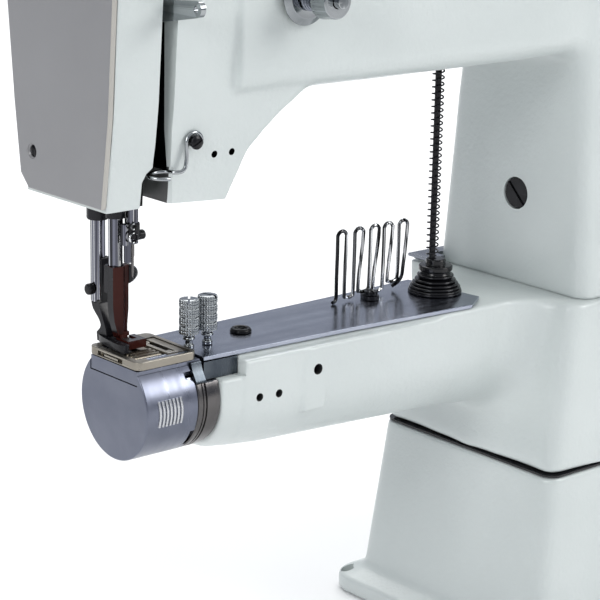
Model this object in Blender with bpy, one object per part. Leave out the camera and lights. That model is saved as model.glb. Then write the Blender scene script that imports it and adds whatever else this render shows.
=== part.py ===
"""Cylinder-arm walking-foot sewing machine for leather, every bench piece a solid of its own.

Lengths are millimetres in the arm's frame: x runs from the hook cover's end face towards the column,
y from the arm's centre plane towards the back, z up from the axis of the cylinder arm. The world's
origin is the centre of the pedestal's underside, in metres.
"""

import math

import bmesh
import bpy
from mathutils import Matrix, Vector

MM = 0.001
GAP = 0.3  # running clearance, and the joint line between pieces that touch

# Driving dimensions
AXIS_HEIGHT = 175.0
PEDESTAL_X = 314.0
COVER_RADIUS = 27.0
COVER_LENGTH = 30.5
RING_END = 44.5
PLATE_TOP = 22.0
PLATE_THICKNESS = 2.0
FRAME_TOP = 25.5
HEAD_BOTTOM = 104.5
HEAD_LEFT = -25.7
ARM_UNDERSIDE = 150.0
ARM_TOP = 245.0
ARM_HALF_DEPTH = 45.0
COLUMN_FOOT = 20.3
COLUMN_RIGHT = 374.0
SEAM = -70.5
LEDGE_TOP = 24.3
MAIN_SHAFT_Z = 200.0
LOWER_BORE = 16.0
CORE_X = (299.0, 345.0)
CORE_HALF = 23.0

# Bars and needle, seen from above
NEEDLE = (14.2, 4.0)
WALKING_BAR = (9.5, 11.0)
PRESSER_BAR = (9.5, 25.5)
BELLOWS = (212.4, 1.2)
LIFTER = (210.8, 2.6)
THUMBSCREWS = {"thumbscrew_left": (42.0, -4.0), "thumbscrew_right": (53.8, -3.4)}
PLATE_SCREW = (80.0, 3.0)
COMB_SCREW = (174.0, 10.0)
COLUMN_PLUG = (266.9, -2.7, 69.8)
GUIDE_SCREW = (17.8, 132.2)

FINISHES = {
    "enamel": ((0.66, 0.71, 0.70), 0.35, 0.0),
    "plate_grey": ((0.28, 0.28, 0.30), 0.45, 0.3),
    "steel": ((0.36, 0.39, 0.48), 0.25, 1.0),
    "chrome": ((0.75, 0.76, 0.78), 0.12, 1.0),
    "ring_steel": ((0.32, 0.30, 0.29), 0.35, 1.0),
    "nickel": ((0.55, 0.50, 0.44), 0.35, 1.0),
    "black_steel": ((0.015, 0.015, 0.018), 0.35, 0.6),
    "brown_steel": ((0.05, 0.018, 0.014), 0.3, 0.7),
    "rubber": ((0.01, 0.01, 0.011), 0.35, 0.0),
    "knob_plastic": ((0.02, 0.02, 0.022), 0.4, 0.0),
}


# ---------------------------------------------------------------- workshop
def world(x, y, z):
    return Vector(((x - PEDESTAL_X) * MM, y * MM, (z + AXIS_HEIGHT) * MM))


def clear_scene():
    for obj in list(bpy.data.objects):
        bpy.data.objects.remove(obj, do_unlink=True)


def finish_material(name, finish):
    colour, roughness, metallic = FINISHES[finish]
    material = bpy.data.materials.new(name)
    material.use_nodes = True
    shader = material.node_tree.nodes["Principled BSDF"]
    shader.inputs["Base Color"].default_value = (*colour, 1.0)
    shader.inputs["Roughness"].default_value = roughness
    shader.inputs["Metallic"].default_value = metallic
    return material


def part(name, shape, finish, origin=(0.0, 0.0, 0.0)):
    """Named object from a shape in arm millimetres, with its own origin at `origin`."""
    bmesh.ops.recalc_face_normals(shape, faces=shape.faces)
    bmesh.ops.translate(shape, vec=-Vector(origin), verts=shape.verts)
    bmesh.ops.scale(shape, vec=(MM, MM, MM), verts=shape.verts)
    mesh = bpy.data.meshes.new(name)
    shape.to_mesh(mesh)
    shape.free()
    obj = bpy.data.objects.new(name, mesh)
    obj.location = world(*origin)
    obj.data.materials.append(finish_material(name, finish))
    MACHINE.objects.link(obj)
    return obj


def combine(obj, shape, operation):
    """Boolean of `obj` with a shape in arm millimetres; the tool is removed afterwards."""
    tool = part(obj.name + "_tool", shape, "enamel")
    bpy.context.view_layer.update()
    boolean = obj.modifiers.new("boolean", "BOOLEAN")
    boolean.solver = "EXACT"
    boolean.operation = operation
    boolean.object = tool
    graph = bpy.context.evaluated_depsgraph_get()
    mesh = bpy.data.meshes.new_from_object(obj.evaluated_get(graph))
    obj.modifiers.clear()
    obj.data = mesh
    bpy.data.objects.remove(tool, do_unlink=True)


def cut(obj, *shapes):
    for shape in shapes:
        combine(obj, shape, "DIFFERENCE")


def fuse(obj, *shapes):
    for shape in shapes:
        combine(obj, shape, "UNION")


def smooth(*objects):
    for obj in objects:
        obj.data.shade_smooth()
        obj.data.set_sharp_from_angle(angle=math.radians(35))


# ------------------------------------------------------------------ shapes
def block(x, y, z, bevel=0.0):
    """Box between the (low, high) pairs x, y and z, with its edges rounded by `bevel`."""
    shape = bmesh.new()
    bmesh.ops.create_cube(shape, size=1.0)
    size = Vector((x[1] - x[0], y[1] - y[0], z[1] - z[0]))
    centre = Vector((x[0] + x[1], y[0] + y[1], z[0] + z[1])) / 2
    bmesh.ops.scale(shape, vec=size, verts=shape.verts)
    bmesh.ops.translate(shape, vec=centre, verts=shape.verts)
    if bevel:
        bmesh.ops.bevel(shape, geom=shape.edges[:], offset=bevel, segments=2, profile=0.5, affect="EDGES")
    return shape


def turned(profile, centre, axis="z", steps=24):
    """Profile of (radius, distance along the axis) spun about an axis through `centre`.

    The profile is closed round a hole when both its ends are off the axis.
    """
    shape = bmesh.new()
    verts = [shape.verts.new((radius, 0.0, along)) for radius, along in profile]
    for low, high in zip(verts, verts[1:]):
        shape.edges.new((low, high))
    if profile[0][0] > 0:
        shape.edges.new((verts[-1], verts[0]))
    bmesh.ops.spin(
        shape, geom=shape.verts[:] + shape.edges[:], cent=(0, 0, 0), axis=(0, 0, 1),
        angle=math.tau, steps=steps, use_merge=True,
    )
    bmesh.ops.remove_doubles(shape, verts=shape.verts, dist=1e-4)
    turn = {"z": Matrix(), "x": Matrix.Rotation(math.pi / 2, 4, "Y"), "-y": Matrix.Rotation(math.pi / 2, 4, "X")}
    bmesh.ops.transform(shape, matrix=Matrix.Translation(centre) @ turn[axis], verts=shape.verts)
    bmesh.ops.recalc_face_normals(shape, faces=shape.faces)
    return shape


def rod(radius, low, high, centre, axis="z", steps=24, chamfer=0.0):
    """Plain cylinder from `low` to `high` along its axis."""
    side = [(radius, low), (radius, high)]
    if chamfer:
        side = [(radius - chamfer, low), (radius, low + chamfer), (radius, high - chamfer), (radius - chamfer, high)]
    return turned([(0.0, low), *side, (0.0, high)], centre, axis, steps)


def tube(outer, inner, low, high, centre, axis="z", steps=24):
    return turned([(inner, low), (outer, low), (outer, high), (inner, high)], centre, axis, steps)


def loft(rings):
    """Closed solid through rings of equally many points."""
    shape = bmesh.new()
    rows = [[shape.verts.new(point) for point in ring] for ring in rings]
    for row, following in zip(rows, rows[1:]):
        for i in range(len(row)):
            k = (i + 1) % len(row)
            shape.faces.new((row[i], row[k], following[k], following[i]))
    bmesh.ops.triangulate(shape, faces=shape.faces[:])
    shape.faces.new(rows[0])
    shape.faces.new(rows[-1])
    bmesh.ops.recalc_face_normals(shape, faces=shape.faces)
    return shape


def round_rectangle(x, y, radius, steps=4):
    """Corner-rounded rectangle between the (low, high) pairs x and y, counter-clockwise."""
    centres = [
        (x[1] - radius, y[1] - radius), (x[0] + radius, y[1] - radius),
        (x[0] + radius, y[0] + radius), (x[1] - radius, y[0] + radius),
    ]
    points = []
    for quarter, (cx, cy) in enumerate(centres):
        for step in range(steps + 1):
            angle = math.pi / 2 * (quarter + step / steps)
            points.append((cx + radius * math.cos(angle), cy + radius * math.sin(angle)))
    return points


def tower(levels):
    """Loft through levels of (z, x pair, y pair, corner radius)."""
    return loft([[(px, py, z) for px, py in round_rectangle(x, y, r)] for z, x, y, r in levels])


def slab_z(outline, low, high):
    return loft([[(px, py, z) for px, py in outline] for z in (low, high)])


def slab_x(outline, low, high):
    return loft([[(x, py, pz) for py, pz in outline] for x in (low, high)])


def slab_y(outline, low, high):
    return loft([[(px, y, pz) for px, pz in outline] for y in (low, high)])


def strap(start, start_radius, end, end_radius, steps=10):
    """Outline of the belt line round two circles in a plane."""
    across = (end[0] - start[0], end[1] - start[1])
    heading = math.atan2(across[1], across[0])
    lean = math.acos((start_radius - end_radius) / math.hypot(*across))
    points = []
    for centre, radius, first, last in (
        (end, end_radius, heading - lean, heading + lean),
        (start, start_radius, heading + lean, heading - lean + math.tau),
    ):
        for step in range(steps + 1):
            angle = first + (last - first) * step / steps
            points.append((centre[0] + radius * math.cos(angle), centre[1] + radius * math.sin(angle)))
    return points


def wire(name, points, radius, finish, origin=(0.0, 0.0, 0.0), resolution=2):
    """Round wire through points in arm millimetres, made a mesh with its caps welded."""
    curve = bpy.data.curves.new(name, "CURVE")
    curve.dimensions = "3D"
    curve.bevel_depth = radius * MM
    curve.bevel_resolution = resolution
    curve.use_fill_caps = True
    spline = curve.splines.new("POLY")
    spline.points.add(len(points) - 1)
    for spline_point, point in zip(spline.points, points):
        offset = (Vector(point) - Vector(origin)) * MM
        spline_point.co = (*offset, 1.0)
    source = bpy.data.objects.new(name + "_curve", curve)
    MACHINE.objects.link(source)
    graph = bpy.context.evaluated_depsgraph_get()
    mesh = bpy.data.meshes.new_from_object(source.evaluated_get(graph))
    bpy.data.objects.remove(source, do_unlink=True)
    shape = bmesh.new()
    shape.from_mesh(mesh)
    bmesh.ops.remove_doubles(shape, verts=shape.verts, dist=1e-6)
    bmesh.ops.recalc_face_normals(shape, faces=shape.faces)
    shape.to_mesh(mesh)
    shape.free()
    obj = bpy.data.objects.new(name, mesh)
    obj.location = world(*origin)
    mesh.materials.append(finish_material(name, finish))
    MACHINE.objects.link(obj)
    return obj


def coil(centre, radius, low, high, turns, per_turn=8):
    """Points of a helix about z."""
    count = turns * per_turn
    return [
        (
            centre[0] + radius * math.cos(math.tau * i / per_turn),
            centre[1] + radius * math.sin(math.tau * i / per_turn),
            low + (high - low) * i / count,
        )
        for i in range(count + 1)
    ]


def slotted_screw(name, centre, axis, head_radius, head, shank_radius, shank, finish, turn=0.0):
    """Cheese-head screw; `centre` is under its head, and the slot is turned by `turn`."""
    profile = [
        (0.0, head), (head_radius - 0.5, head), (head_radius, head - 0.5), (head_radius, 0.0),
        (shank_radius, 0.0), (shank_radius, -shank), (0.0, -shank),
    ]
    screw = part(name, turned(profile, centre, axis, 20), finish, centre)
    spin = {"z": "Z", "x": "X", "-y": "Y"}[axis]
    along = {"z": Vector((0, 0, 1)), "x": Vector((1, 0, 0)), "-y": Vector((0, -1, 0))}[axis]
    slot_width, slot_depth = 0.18 * head_radius, 0.45 * head
    reach = head_radius + 1
    if axis == "z":
        slot = block((-reach, reach), (-slot_width, slot_width), (-slot_depth, 1))
    elif axis == "x":
        slot = block((-slot_depth, 1), (-reach, reach), (-slot_width, slot_width))
    else:
        slot = block((-reach, reach), (-1, slot_depth), (-slot_width, slot_width))
    matrix = Matrix.Translation(Vector(centre) + along * head) @ Matrix.Rotation(turn, 4, spin)
    bmesh.ops.transform(slot, matrix=matrix, verts=slot.verts)
    cut(screw, slot)
    smooth(screw)
    return screw


# ---------------------------------------------------------------- castings
def make_pedestal():
    levels = [
        (-AXIS_HEIGHT, (214, 414), (-84, 84), 16),
        (-AXIS_HEIGHT + 10, (214, 414), (-84, 84), 16),
        (-AXIS_HEIGHT + 14, (228, 399), (-73, 73), 11),
        (SEAM - 1.6, (238, 391), (-66.5, 66.5), 9),
    ]
    pedestal = part("pedestal", tower(levels), "enamel")
    cut(pedestal, block(CORE_X, (-CORE_HALF, CORE_HALF), (-AXIS_HEIGHT + 8, SEAM + 5)))
    for x in (222.5, 405.5):
        for y in (-75, 75):
            cut(pedestal, rod(4.5, -AXIS_HEIGHT - 1, -AXIS_HEIGHT + 12, (x, y, 0), steps=16))
    smooth(pedestal)


def make_gasket():
    gasket = part("base_gasket", tower([(z, (238.5, 390.5), (-66, 66), 8.5) for z in (SEAM - 1.3, SEAM - GAP)]),
                  "rubber")
    cut(gasket, block(CORE_X, (-CORE_HALF, CORE_HALF), (SEAM - 5, SEAM + 5)))


def arm_section(x, half_width, top, bottom, spring=-2.0, steps=14):
    """Flat-topped, straight-sided section with a half-elliptic belly starting at height `spring`."""
    belly = []
    for step in range(steps + 1):
        angle = math.pi * step / steps
        belly.append((x, -half_width * math.cos(angle), spring - (spring - bottom) * math.sin(angle)))
    return [(x, half_width, top), (x, -half_width, top), *belly]


def flare(side):
    """Concave casting fillet between the arm's flank and the column foot."""
    radius, rings = 26.0, []
    for z, face in ((-44.0, 244.0), (-10.0, 250.8), (19.6, 256.7)):
        centre = (face - radius, -56.0)
        ring = [(face + 12, -24, z), (face - radius, -24, z)]
        for step in range(9):
            angle = math.pi / 2 * (1 - step / 8)
            ring.append((centre[0] + radius * math.cos(angle), centre[1] + radius * math.sin(angle), z))
        ring.append((face + 12, -56, z))
        rings.append([(x, y * side, height) for x, y, height in ring])
    return loft(rings)


def ledge_outline(inset):
    """Plan of the ledge that steps round the column's rear corner."""
    left, right, front, back = 253.5 + inset, 296.5 - inset, 49.0 + inset, 66.0 - inset
    corner_x, corner_y = 266.6 - inset, 58.1 + inset
    return [(left, front), (corner_x, front), (corner_x, corner_y), (right, corner_y), (right, back), (left, back)]


def make_bed_casting():
    body = [
        (SEAM, (238, 391), (-66.5, 66.5), 9),
        (-30, (246, 387), (-63.5, 63.5), 9.5),
        (COLUMN_FOOT - GAP, (256, 382), (-60, 60), 10),
    ]
    bed = part("bed_casting", tower(body), "enamel")
    top = PLATE_TOP - PLATE_THICKNESS - GAP
    sections = [
        arm_section(58.5, 28.0, top, -31.2), arm_section(80, 28.6, top, -33.8),
        arm_section(190, 30.2, top, -38.8), arm_section(280, 31.5, top, -43.0),
    ]
    fuse(bed, loft(sections))
    nose = turned([(0, RING_END + GAP), (28.6, RING_END + GAP), (29.4, RING_END + 1.2), (29.4, 58.7), (0, 58.7)],
                  (0, 0, 0), "x", 32)
    fuse(bed, nose, flare(1), flare(-1))
    fuse(bed, block((95.0, 108.7), (-30.6, -20), (-14.5, 15.0), 0.8))
    fuse(bed, block((254, 296), (40, 65.5), (-18, 19.8), 2.0), slab_z(ledge_outline(0.5), 12, LEDGE_TOP - 2.1))
    cut(bed, block((40, 58.8), (-40, 40), (10.6, 40)))
    cut(bed, rod(LOWER_BORE, 40, CORE_X[1] - 2, (0, 0, 0), "x", 32))
    cut(bed, block(CORE_X, (-CORE_HALF, CORE_HALF), (SEAM - 5, 40)))
    for x, z, radius in ((64.5, -1.6, 2.25), (76.5, -1.8, 2.25), (103.2, 6.4, 3.0)):
        cut(bed, rod(radius, 20, 40, (x, 0, z), "-y", 14))
    for x, y, radius in ((*PLATE_SCREW, 2.8), (*COMB_SCREW, 2.3), (*LIFTER, 3.0)):
        cut(bed, rod(radius, 10, 30, (x, y, 0), steps=14))
    smooth(bed)


def make_upper_casting():
    column = [
        (COLUMN_FOOT, (267, 378), (-57.5, 57.5), 10),
        (100, (268, COLUMN_RIGHT), (-51.5, 51.5), 10),
        (ARM_UNDERSIDE, (269, COLUMN_RIGHT), (-48.5, 48.5), 10),
        (ARM_TOP, (270, COLUMN_RIGHT), (-ARM_HALF_DEPTH, ARM_HALF_DEPTH), 12),
    ]
    upper = part("upper_casting", tower(column), "enamel")
    beam = [[(x, py, pz) for py, pz in round_rectangle((-ARM_HALF_DEPTH, ARM_HALF_DEPTH), (ARM_UNDERSIDE, ARM_TOP), 12)]
            for x in (40, 320)]
    head = [
        (HEAD_BOTTOM, (HEAD_LEFT, 42.0), (-33, 31), 3),
        (124.0, (HEAD_LEFT, 51.2), (-35.3, 33.2), 3),
        (132.5, (HEAD_LEFT, 60), (-37, 35), 3),
        (140.0, (HEAD_LEFT, 70), (-38, 36), 3),
        (ARM_UNDERSIDE + 2, (HEAD_LEFT, 88), (-39.5, 37.5), 3),
        (ARM_TOP - 12, (HEAD_LEFT, 88), (-ARM_HALF_DEPTH, ARM_HALF_DEPTH), 3),
        (ARM_TOP, (HEAD_LEFT + 8, 88), (-33, 33), 3),
    ]
    fuse(upper, loft(beam), tower(head))
    cut(upper, block((-40, 21), (-14, 32), (116, 230)))
    slot = [
        (7.9, 90), (7.9, 106), (7.2, 121), (5.8, 138), (5.8, 222), (-2.9, 222), (-3.0, 122), (-6.2, 119.6),
        (-8.4, 115.5), (-8.9, 90),
    ]
    cut(upper, slab_y(slot, -60, -12))
    cut(upper, rod(20, 15, 305, (0, 0, MAIN_SHAFT_Z), "x", 28))
    cut(upper, rod(9, 300, 390, (0, 0, MAIN_SHAFT_Z), "x", 20))
    cut(upper, block(CORE_X, (-CORE_HALF, CORE_HALF), (10, 226)))
    for (x, y), radius in ((NEEDLE, 3.1), (WALKING_BAR, 5.2), (PRESSER_BAR, 5.8)):
        cut(upper, rod(radius, 95, 120, (x, y, 0), steps=20))
    cut(upper, rod(2.2, 140, 172, (*LIFTER, 0), steps=12))
    cut(upper, rod(9.9, 255, 276, (0, *COLUMN_PLUG[1:]), "x", 24))
    cut(upper, rod(2.4, 28, 50, (GUIDE_SCREW[0], 0, GUIDE_SCREW[1]), "-y", 12))
    for x in (32.0, 42.2):
        cut(upper, rod(1.7, 28, 42, (x, 0, 124.3), "-y", 10))
    cut(upper, rod(3.3, 40, 50, (75, 0, 195), "-y", 14))
    smooth(upper)


def make_covers():
    edge = [
        (-33.0, 105.5), (-38.5, 146), (-44, 225), (-34, 244), (34, 244), (44, 225), (36, 146), (31.5, 112),
        (25, 105.5),
    ]
    face = part("face_plate", slab_x(edge, HEAD_LEFT - 4.3, HEAD_LEFT - GAP), "plate_grey")
    screws = {"face_plate_screw_low": (21.4, 123.5), "face_plate_screw_high": (-32.0, 226.0)}
    for name, (y, z) in screws.items():
        cut(face, rod(2.4, -40, -20, (0, y, z), "x", 12))
        cut_seat = rod(2.4, -40, HEAD_LEFT + 9, (0, y, z), "x", 12)
        cut(bpy.data.objects["upper_casting"], cut_seat)
        profile = [
            (0.0, -2.2), (3.4, -2.2), (3.9, -1.7), (3.9, 0.0), (2.1, 0.0), (2.1, 10.0), (0.0, 10.0),
        ]
        seat = HEAD_LEFT - 4.3 - GAP
        screw = part(name, turned(profile, (seat, y, z), "x", 16), "chrome", (seat, y, z))
        cut(screw, block((seat - 3, seat - 1.3), (y - 5, y + 5), (z - 0.6, z + 0.6)))
    top = part("top_cover", block((92, 262), (-31, 31), (ARM_TOP + GAP, ARM_TOP + 3.5), 1.0), "enamel")
    cover = turned(
        [(9.5, 374.3), (42.0, 374.3), (42.0, 378.0), (39.0, 380.5), (16.0, 380.5), (14.0, 381.5), (9.5, 381.5)],
        (0, 0, MAIN_SHAFT_Z), "x", 30)
    end = part("end_cover", cover, "enamel")
    ledge = part("ledge_cover", slab_z(ledge_outline(0.0), LEDGE_TOP - 1.8, LEDGE_TOP), "steel")
    plug = part("column_plug", rod(9.5, 0, 8.6, COLUMN_PLUG, "x", 24, 0.6), "black_steel", COLUMN_PLUG)
    slot = block((-1, 1.6), (-12, 12), (-0.9, 0.9))
    matrix = Matrix.Translation(COLUMN_PLUG) @ Matrix.Rotation(math.radians(45), 4, "X")
    bmesh.ops.transform(slot, matrix=matrix, verts=slot.verts)
    cut(plug, slot)
    smooth(top, end, ledge, plug, face)


# ---------------------------------------------------------------- arm nose
def make_nose():
    profile = [
        (0.0, 0.0), (COVER_RADIUS - 1.0, 0.0), (COVER_RADIUS, 1.0), (COVER_RADIUS, COVER_LENGTH),
        (COVER_RADIUS - 2.0, COVER_LENGTH), (COVER_RADIUS - 2.0, 2.0), (0.0, 2.0),
    ]
    cap = part("end_cap", turned(profile, (0, 0, 0), "x", 44), "steel", (0, 0, 0))
    cut(cap, block((-1, 35), (-19, 19), (13.9, 40)))
    cut(cap, block((24.5, 35), (-40, -12), (-20.5, -12.5)))
    ring_profile = [
        (17, 30.8), (26.4, 30.8), (26.9, 31.3), (26.9, 34.9), (26.0, 35.2), (26.9, 35.6),
        (26.9, RING_END - 0.4), (26.5, RING_END), (17, RING_END),
    ]
    ring = part("hook_ring", turned(ring_profile, (0, 0, 0), "x", 40), "ring_steel")
    cut(ring, block((25, 37.6), (-40, 40), (14.0, 40)), block((37.6, 50), (-40, 40), (10.6, 40)))
    saddle = part("saddle", block((0.3, 37.3), (-18.7, 18.7), (14.3, PLATE_TOP - 0.1), 0.4), "steel")
    cut(saddle, rod(20.2, 15.6, 30.4, (0, 0, 0), "x", 40))
    cut(saddle, block((11.8, 16.6), (-2, 10), (10, 30)))
    bearer = part("binder_block", block((37.6, 58.2), (-21.6, 21.6), (10.9, PLATE_TOP - PLATE_THICKNESS - GAP), 0.3),
                  "steel")
    for x, y in THUMBSCREWS.values():
        cut(bearer, rod(2.2, 13, 30, (x, y, 0), steps=12))
    smooth(cap, ring, saddle, bearer)


def make_needle_plate():
    outline = tower([
        (PLATE_TOP + GAP, (0.3, 32.6), (-20.0, 20.8), 3.2), (FRAME_TOP - 0.8, (0.3, 32.6), (-20.0, 20.8), 3.2),
        (FRAME_TOP, (1.1, 31.8), (-19.2, 20.0), 2.6),
    ])
    plate = part("needle_plate", outline, "nickel")
    cut(plate, block((4.0, 21.8), (-14.0, 16.0), (15, 30)))
    cut(plate, block((24.2, 28.4), (-12, 13), (15, 30)))
    cut(plate, block((-2, 2.4), (-13, 8), (15, 24.2)))
    dog = part("feed_dog", block((4.5, 21.3), (-10.0, 12.0), (PLATE_TOP + GAP, 24.4), 0.2), "nickel")
    for y in (-8.4, -5.2, -2.0, 8.6):
        fuse(dog, block((5.2, 20.6), (y - 0.9, y + 0.9), (23.5, 25.3)))
    cut(dog, block((12.0, 16.4), (0.2, 7.8), (15, 30)))
    smooth(plate, dog)


def make_hook():
    hook_profile = [
        (0, 27.0), (15.4, 27.0), (15.4, 16.2), (18.6, 16.2), (18.6, 29.6), (9.0, 29.6), (9.0, 34.0), (0, 34.0),
    ]
    hook = part("rotary_hook", turned(hook_profile, (0, 0, 0), "x", 32), "chrome", (16.2, 0, 0))
    cut(hook, block((10, 22), (12, 20), (-6, 6)))
    case_profile = [
        (0, 5.0), (10.6, 5.0), (10.6, 16.4), (15.0, 16.4), (15.0, 26.4), (12.6, 26.4), (12.6, 17.6), (8.6, 17.6),
        (8.6, 6.4), (0, 6.4),
    ]
    case = part("bobbin_case", turned(case_profile, (0, 0, 0), "x", 28), "steel")
    bobbin_profile = [
        (3.2, 18.0), (12.2, 18.0), (12.2, 18.8), (4.4, 18.8), (4.4, 25.4), (12.2, 25.4), (12.2, 26.2), (3.2, 26.2),
    ]
    bobbin = part("bobbin", turned(bobbin_profile, (0, 0, 0), "x", 24), "chrome", (22, 0, 0))
    smooth(hook, case, bobbin)


def make_drive():
    shaft = part("lower_shaft", rod(6, 34.3, 338, (0, 0, 0), "x", 20, 0.5), "steel", (34.3, 0, 0))
    low = part("lower_pulley", tube(10, 6.3, 314, 332, (0, 0, 0), "x", 20), "steel", (314, 0, 0))
    main = part("main_shaft", rod(7, 27.3, 410, (0, 0, MAIN_SHAFT_Z), "x", 20, 0.5), "steel",
                (27.3, 0, MAIN_SHAFT_Z))
    high = part("upper_pulley", tube(20, 7.3, 314, 332, (0, 0, MAIN_SHAFT_Z), "x", 32), "steel",
                (314, 0, MAIN_SHAFT_Z))
    crank = part("crank_disc", rod(16, 22.5, 27, (0, 0, MAIN_SHAFT_Z), "x", 24, 0.5), "steel",
                 (27, 0, MAIN_SHAFT_Z))
    belt = part("timing_belt", slab_x(strap((0, 0), 12.3, (0, MAIN_SHAFT_Z), 22.3), 315, 331), "rubber")
    cut(belt, slab_x(strap((0, 0), 10.3, (0, MAIN_SHAFT_Z), 20.3), 300, 350))
    rim = [
        (7.3, 388), (20, 388), (20, 392), (44, 394), (46, 386), (54, 385), (58, 388), (58, 396), (51, 400),
        (57, 404), (57, 408), (46, 410), (44, 401), (20, 404), (18, 409), (7.3, 409),
    ]
    wheel = part("handwheel", turned(rim, (0, 0, MAIN_SHAFT_Z), "x", 28), "knob_plastic", (388, 0, MAIN_SHAFT_Z))
    smooth(shaft, low, main, high, crank, belt, wheel)


# --------------------------------------------------------------- plate top
def make_cover_plate():
    outline = [(38.6, -20.3), (129, -24.4), (210, -29.8), (225, -20), (218.5, 28.5), (40.2, 24)]
    plate = part("cover_plate", slab_z(outline, PLATE_TOP - PLATE_THICKNESS, PLATE_TOP), "steel")
    for x, y in THUMBSCREWS.values():
        cut(plate, rod(2.4, 10, 30, (x, y, 0), steps=12))
    for x, y, radius in ((*PLATE_SCREW, 2.8), (*COMB_SCREW, 2.3), (*LIFTER, 4.0)):
        cut(plate, rod(radius, 10, 30, (x, y, 0), steps=14))
    slotted_screw("plate_screw", (*PLATE_SCREW, PLATE_TOP + GAP), "z", 5.5, 2.2, 2.5, 10, "black_steel", 0.3)
    slotted_screw("comb_screw", (*COMB_SCREW, PLATE_TOP + 2.6), "z", 3.6, 2.2, 2.0, 11, "chrome", 1.2)


def make_thumbscrews():
    for name, (x, y) in THUMBSCREWS.items():
        foot = PLATE_TOP + GAP
        profile = [(0, 13.5), (1.9, 13.5), (1.9, foot), (2.6, foot), (2.6, foot + 1.6), (1.8, foot + 2.2),
                   (1.8, foot + 4.2), (2.5, foot + 4.8), (2.5, foot + 6.6), (4.4, foot + 7.0)]
        band = foot + 7.4
        for _ in range(5):
            profile += [(5.0, band), (5.0, band + 2.6), (4.4, band + 3.0)]
            band += 3.5
        profile += [(4.0, band), (0, band)]
        screw = part(name, turned(profile, (x, y, 0), steps=14), "chrome", (x, y, foot))
        cut(screw, block((x - 0.6, x + 0.6), (y - 7, y + 7), (band - 2.2, band + 2)))
        smooth(screw)


def make_comb_guide():
    """Five hairpin loops standing in a row, ending in feet beside the plate's middle."""
    top_bend, low_bend, first, loops = 3.1, 2.4, 154.0, 5
    low, high, y = 27.0, 57.6, 14.5
    pitch = 2 * (top_bend + low_bend)
    points = [(first - 3, y + 4, PLATE_TOP + 1.2), (first, y, PLATE_TOP + 2.4)]
    for loop in range(loops):
        x = first + loop * pitch
        for step in range(7):
            angle = math.pi * (1 - step / 6)
            points.append((x + top_bend + top_bend * math.cos(angle), y, high + top_bend * math.sin(angle)))
        if loop < loops - 1:
            for step in range(5):
                angle = math.pi * (1 + step / 4)
                centre = x + 2 * top_bend + low_bend
                points.append((centre + low_bend * math.cos(angle), y, low + low_bend * math.sin(angle)))
    last = first + (loops - 1) * pitch + 2 * top_bend
    points += [(last, y, PLATE_TOP + 2.4), (last + 5, y + 6, PLATE_TOP + 1.2)]
    comb = wire("comb_guide", points, 0.95, "chrome", resolution=1)
    holder = strap(COMB_SCREW, 4.0, (first + 2 * pitch - low_bend, y), 2.4)
    fuse(comb, slab_z(holder, PLATE_TOP + 0.4, PLATE_TOP + 2.3))
    cut(comb, rod(2.4, 15, 30, (*COMB_SCREW, 0), steps=12))
    smooth(comb)


def make_lifter():
    foot = PLATE_TOP + GAP
    outer = [(14.5, foot), (14.5, foot + 1.6)]
    radius, height = 14.2, foot + 1.9
    for step in (0.7, 1.1, 1.3, 1.3, 0.9):
        outer += [(radius - 0.9, height), (radius, height + 0.6), (radius, height + 1.4)]
        radius -= step
        height += 2.0
    top = height + 6.4
    outer += [(9.1, height + 0.2), (9.1, height + 2.7), (5.4, height + 2.9), (5.4, top), (0, top)]
    bellows = part("bellows", turned([(0, foot), *outer], (*BELLOWS, 0), steps=18), "rubber")
    cut(bellows, rod(2.1, 10, 50, (*LIFTER, 0), steps=12))
    push_rod = part("lifter_rod", rod(1.7, 11, 163, (*LIFTER, 0), steps=12, chamfer=0.3), "black_steel",
                    (*LIFTER, 11))
    spring = wire("lifter_spring", coil(LIFTER, 3.0, top + 0.8, ARM_UNDERSIDE - 1.0, 12, 7), 0.45, "black_steel",
                  (*LIFTER, ARM_UNDERSIDE - 1.0), resolution=1)
    smooth(bellows, push_rod, spring)


# -------------------------------------------------------------------- head
def make_presser():
    x, y = PRESSER_BAR
    bar = part("outer_presser_bar", rod(3.7, 45, 212, (x, y, 0), steps=20, chamfer=0.4), "chrome", (x, y, 45))
    bush = part("outer_bush", turned([(4.0, 85.5), (5.0, 85.5), (5.5, 86.0), (5.5, 115), (4.0, 115)],
                                     (x, y, 0), steps=20), "black_steel")
    outline = [
        (27.6, 46), (25.8, 41.5), (21.4, 37.6), (19.6, 34.8), (20.4, 32.6), (22.8, 30.4), (22.4, 26.2), (-4, 26.2),
        (-4, 28.4), (-1.5, 29.6), (14.6, 29.7), (15.4, 33.5), (17.6, 38), (21.6, 46),
    ]
    foot = part("outer_foot", slab_x(outline, 6.5, 12.4), "black_steel")
    fuse(foot, block((8.2, 13.8), (21.2, 29.8), (43, 67), 0.6))
    cut(foot, rod(4.0, 44.7, 80, (x, y, 0), steps=20))
    screw_profile = [(0, 1.6), (2.3, 1.6), (2.8, 2.1), (2.8, 4.7), (1.4, 4.7), (1.4, 5.4), (0, 5.4)]
    screw = part("outer_foot_screw", turned(screw_profile, (0, 25.0, 51.5), "x", 16), "black_steel")
    smooth(bar, bush, screw, foot)


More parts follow.
